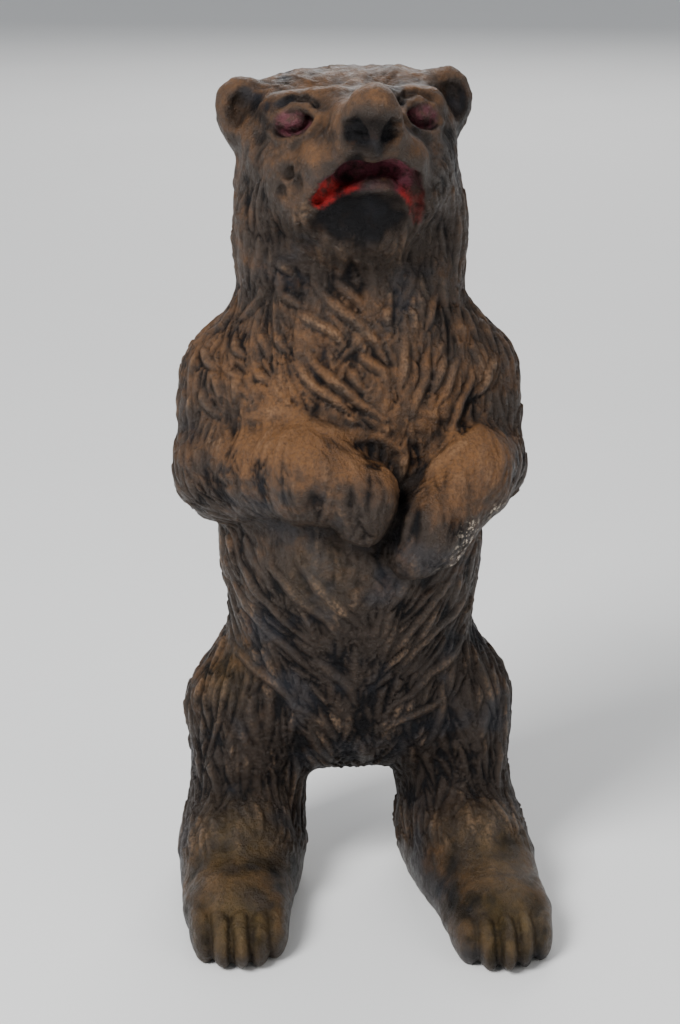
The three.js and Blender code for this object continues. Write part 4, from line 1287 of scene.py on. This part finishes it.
@dataclass
class Screw:
    """The slotted round-head machine screw."""

    gap: float = 0.3
    length: float = 38.1
    radius: float = 2.08
    pitch: float = 0.794
    thread_depth: float = 0.45
    thread_length: float = 19.0
    head_radius: float = 3.92
    head_height: float = 3.05
    slot_width: float = 1.14
    slot_depth: float = 1.7

    def shank(self) -> bpy.types.Object:
        """Shank and thread as one grid of height and angle.

        The radius falls from the crest by the thread's depth times how far a point is, along the axis, from
        the nearest turn of the helix; the depth fades out at both ends of the thread.
        """
        sides, tip = 48, SEAT_Y - self.length
        along = np.arange(tip, SEAT_Y + 1, self.pitch / 8)
        angle = np.linspace(0, 2 * np.pi, sides, endpoint=False)
        phase = np.mod((along[:, None] - tip) / self.pitch - angle / (2 * np.pi), 1)
        runout = tip + self.thread_length
        fade = ramp(along, tip, tip + 0.8) * ramp(-along, -runout, -(tip + self.thread_length - 1))
        ease = 0.7 * (1 - ramp(along, tip, tip + 1.2))
        radius = self.radius - self.thread_depth * (1 - np.abs(2 * phase - 1)) * fade[:, None] - ease[:, None]
        points = np.stack([radius * np.cos(angle), np.broadcast_to(along[:, None], radius.shape),
                           radius * np.sin(angle) + SCREW_AXIS_Z], -1).reshape(-1, 3)
        points = np.concatenate([points, [(0, along[0], SCREW_AXIS_Z), (0, along[-1], SCREW_AXIS_Z)]])
        return mesh_piece("screw_body", Surface(points.astype(np.float32), sweep_faces(len(along), sides)))

    def build(self) -> None:
        """Head, slot and shank in one piece, on its own body."""
        piece = self.shank()
        base = SEAT_Y + self.gap
        bow = np.linspace(0, 1, 12)
        rim = 0.45
        dome = [(self.head_radius * math.sqrt(max(1 - t**2.2, 0)) + 1e-3,
                 base + rim + (self.head_height - rim) * t) for t in bow[:-1]]
        profile = [(0, base), (self.head_radius - 0.25, base), (self.head_radius, base + 0.2), *dome,
                   (0, base + self.head_height)]
        combine(piece, turned("screw_head", profile), Cut.ADD)
        floor = base + self.head_height - self.slot_depth
        half = self.slot_width / 2
        driver = block("driver_slot", (-6, floor, SCREW_AXIS_Z - half), (6, floor + 6, SCREW_AXIS_Z + half))
        combine(piece, driver, Cut.TAKE_AWAY)
        piece.name = "slotted_screw"
        piece.data.materials.clear()
        piece.data.materials.append(OldSteel().build())
        piece.data.shade_smooth()
        piece.data.set_sharp_from_angle(angle=math.radians(38))
        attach(piece, "screw")
        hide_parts("assembly_screw")
        log.info("screw: %d faces", len(piece.data.polygons))


# ------------------------------------------------------------------ the studio


@dataclass
class Studio:
    """A pale floor, soft lights and the camera."""

    camera_distance: float = 0.400
    camera_height: float = 0.204
    camera_side: float = 0.002
    azimuth: float = 5.0
    pitch: float = 18.1
    focal_share: float = 2200 / 1024

    def floor(self) -> None:
        """A round floor that curves up far behind: height grows with the cube of the way past a radius."""
        radius = np.concatenate([np.linspace(0, 1.5, 24), np.linspace(1.6, 6.0, 60)])
        sides = 96
        angle = np.linspace(0, 2 * np.pi, sides, endpoint=False)
        height = 3.0 * np.clip((radius - 1.5) / 4.5, 0, 1) ** 3
        points = np.stack([radius[1:, None] * np.cos(angle), radius[1:, None] * np.sin(angle),
                           np.broadcast_to(height[1:, None], (len(radius) - 1, sides))], -1).reshape(-1, 3)
        points = np.concatenate([points, [(0, 0, 0)]])
        faces = sweep_faces(len(radius) - 1, sides, closed=False)
        placed = points / MM - np.array((0, PARTING_Y, 0)) - (0, 0, 0.02)
        piece = mesh_piece("floor", Surface(placed.astype(np.float32), faces), closed=False)
        piece.data.materials.append(PaleFloor().build())

    def light(self, name: str, place: Triple, size: float, power: float, colour: Colour = (1, 1, 1)) -> None:
        """A square area light that faces the bank's middle."""
        lamp = bpy.data.lights.new(name, "AREA")
        lamp.size, lamp.energy, lamp.color = size, power, colour
        made = bpy.data.objects.new(name, lamp)
        made.location = place
        made.rotation_euler = (Vector((0, 0, 0.09)) - Vector(place)).to_track_quat("-Z", "Y").to_euler()
        bpy.context.scene.collection.objects.link(made)

    def camera(self) -> None:
        """The camera, a little to the bear's right and above its head, tilted down."""
        lens = bpy.data.cameras.new("camera")
        lens.sensor_fit = "VERTICAL"
        lens.sensor_height = 36
        lens.lens = 36 * self.focal_share
        lens.clip_start, lens.clip_end = 0.01, 20
        made = bpy.data.objects.new("camera", lens)
        turn = Matrix.Rotation(-math.radians(self.azimuth), 3, "Z")
        pivot = Vector((0, PARTING_Y * MM, 0))
        made.location = pivot + turn @ Vector((-self.camera_side, -self.camera_distance, self.camera_height))
        tilt = Matrix.Rotation(math.radians(90 - self.pitch), 3, "X")
        made.rotation_euler = (turn @ tilt).to_euler()
        bpy.context.scene.collection.objects.link(made)
        bpy.context.scene.camera = made

    def build(self) -> None:
        """Sets the world, the lights, the floor and the camera."""
        world = bpy.data.worlds.new("studio")
        world.use_nodes = True
        world.node_tree.nodes["Background"].inputs[0].default_value = (0.86, 0.9, 0.96, 1)
        world.node_tree.nodes["Background"].inputs[1].default_value = 0.5
        bpy.context.scene.world = world
        self.floor()
        self.light("window", (-0.5, -0.46, 0.7), 0.36, 13.0, (0.97, 0.985, 1))
        self.light("fill", (0.65, -0.6, 0.35), 0.6, 2.4, (1, 0.97, 0.93))
        self.light("back", (0.2, 1.2, 0.8), 0.8, 8.0)
        self.camera()


def main() -> None:
    """Builds the bank piece by piece, then the studio."""
    logging.basicConfig(level=logging.INFO, format="%(name)s %(message)s")
    Castings().build()
    Screw().build()
    Studio().build()


if __name__ == "__main__":
    main()
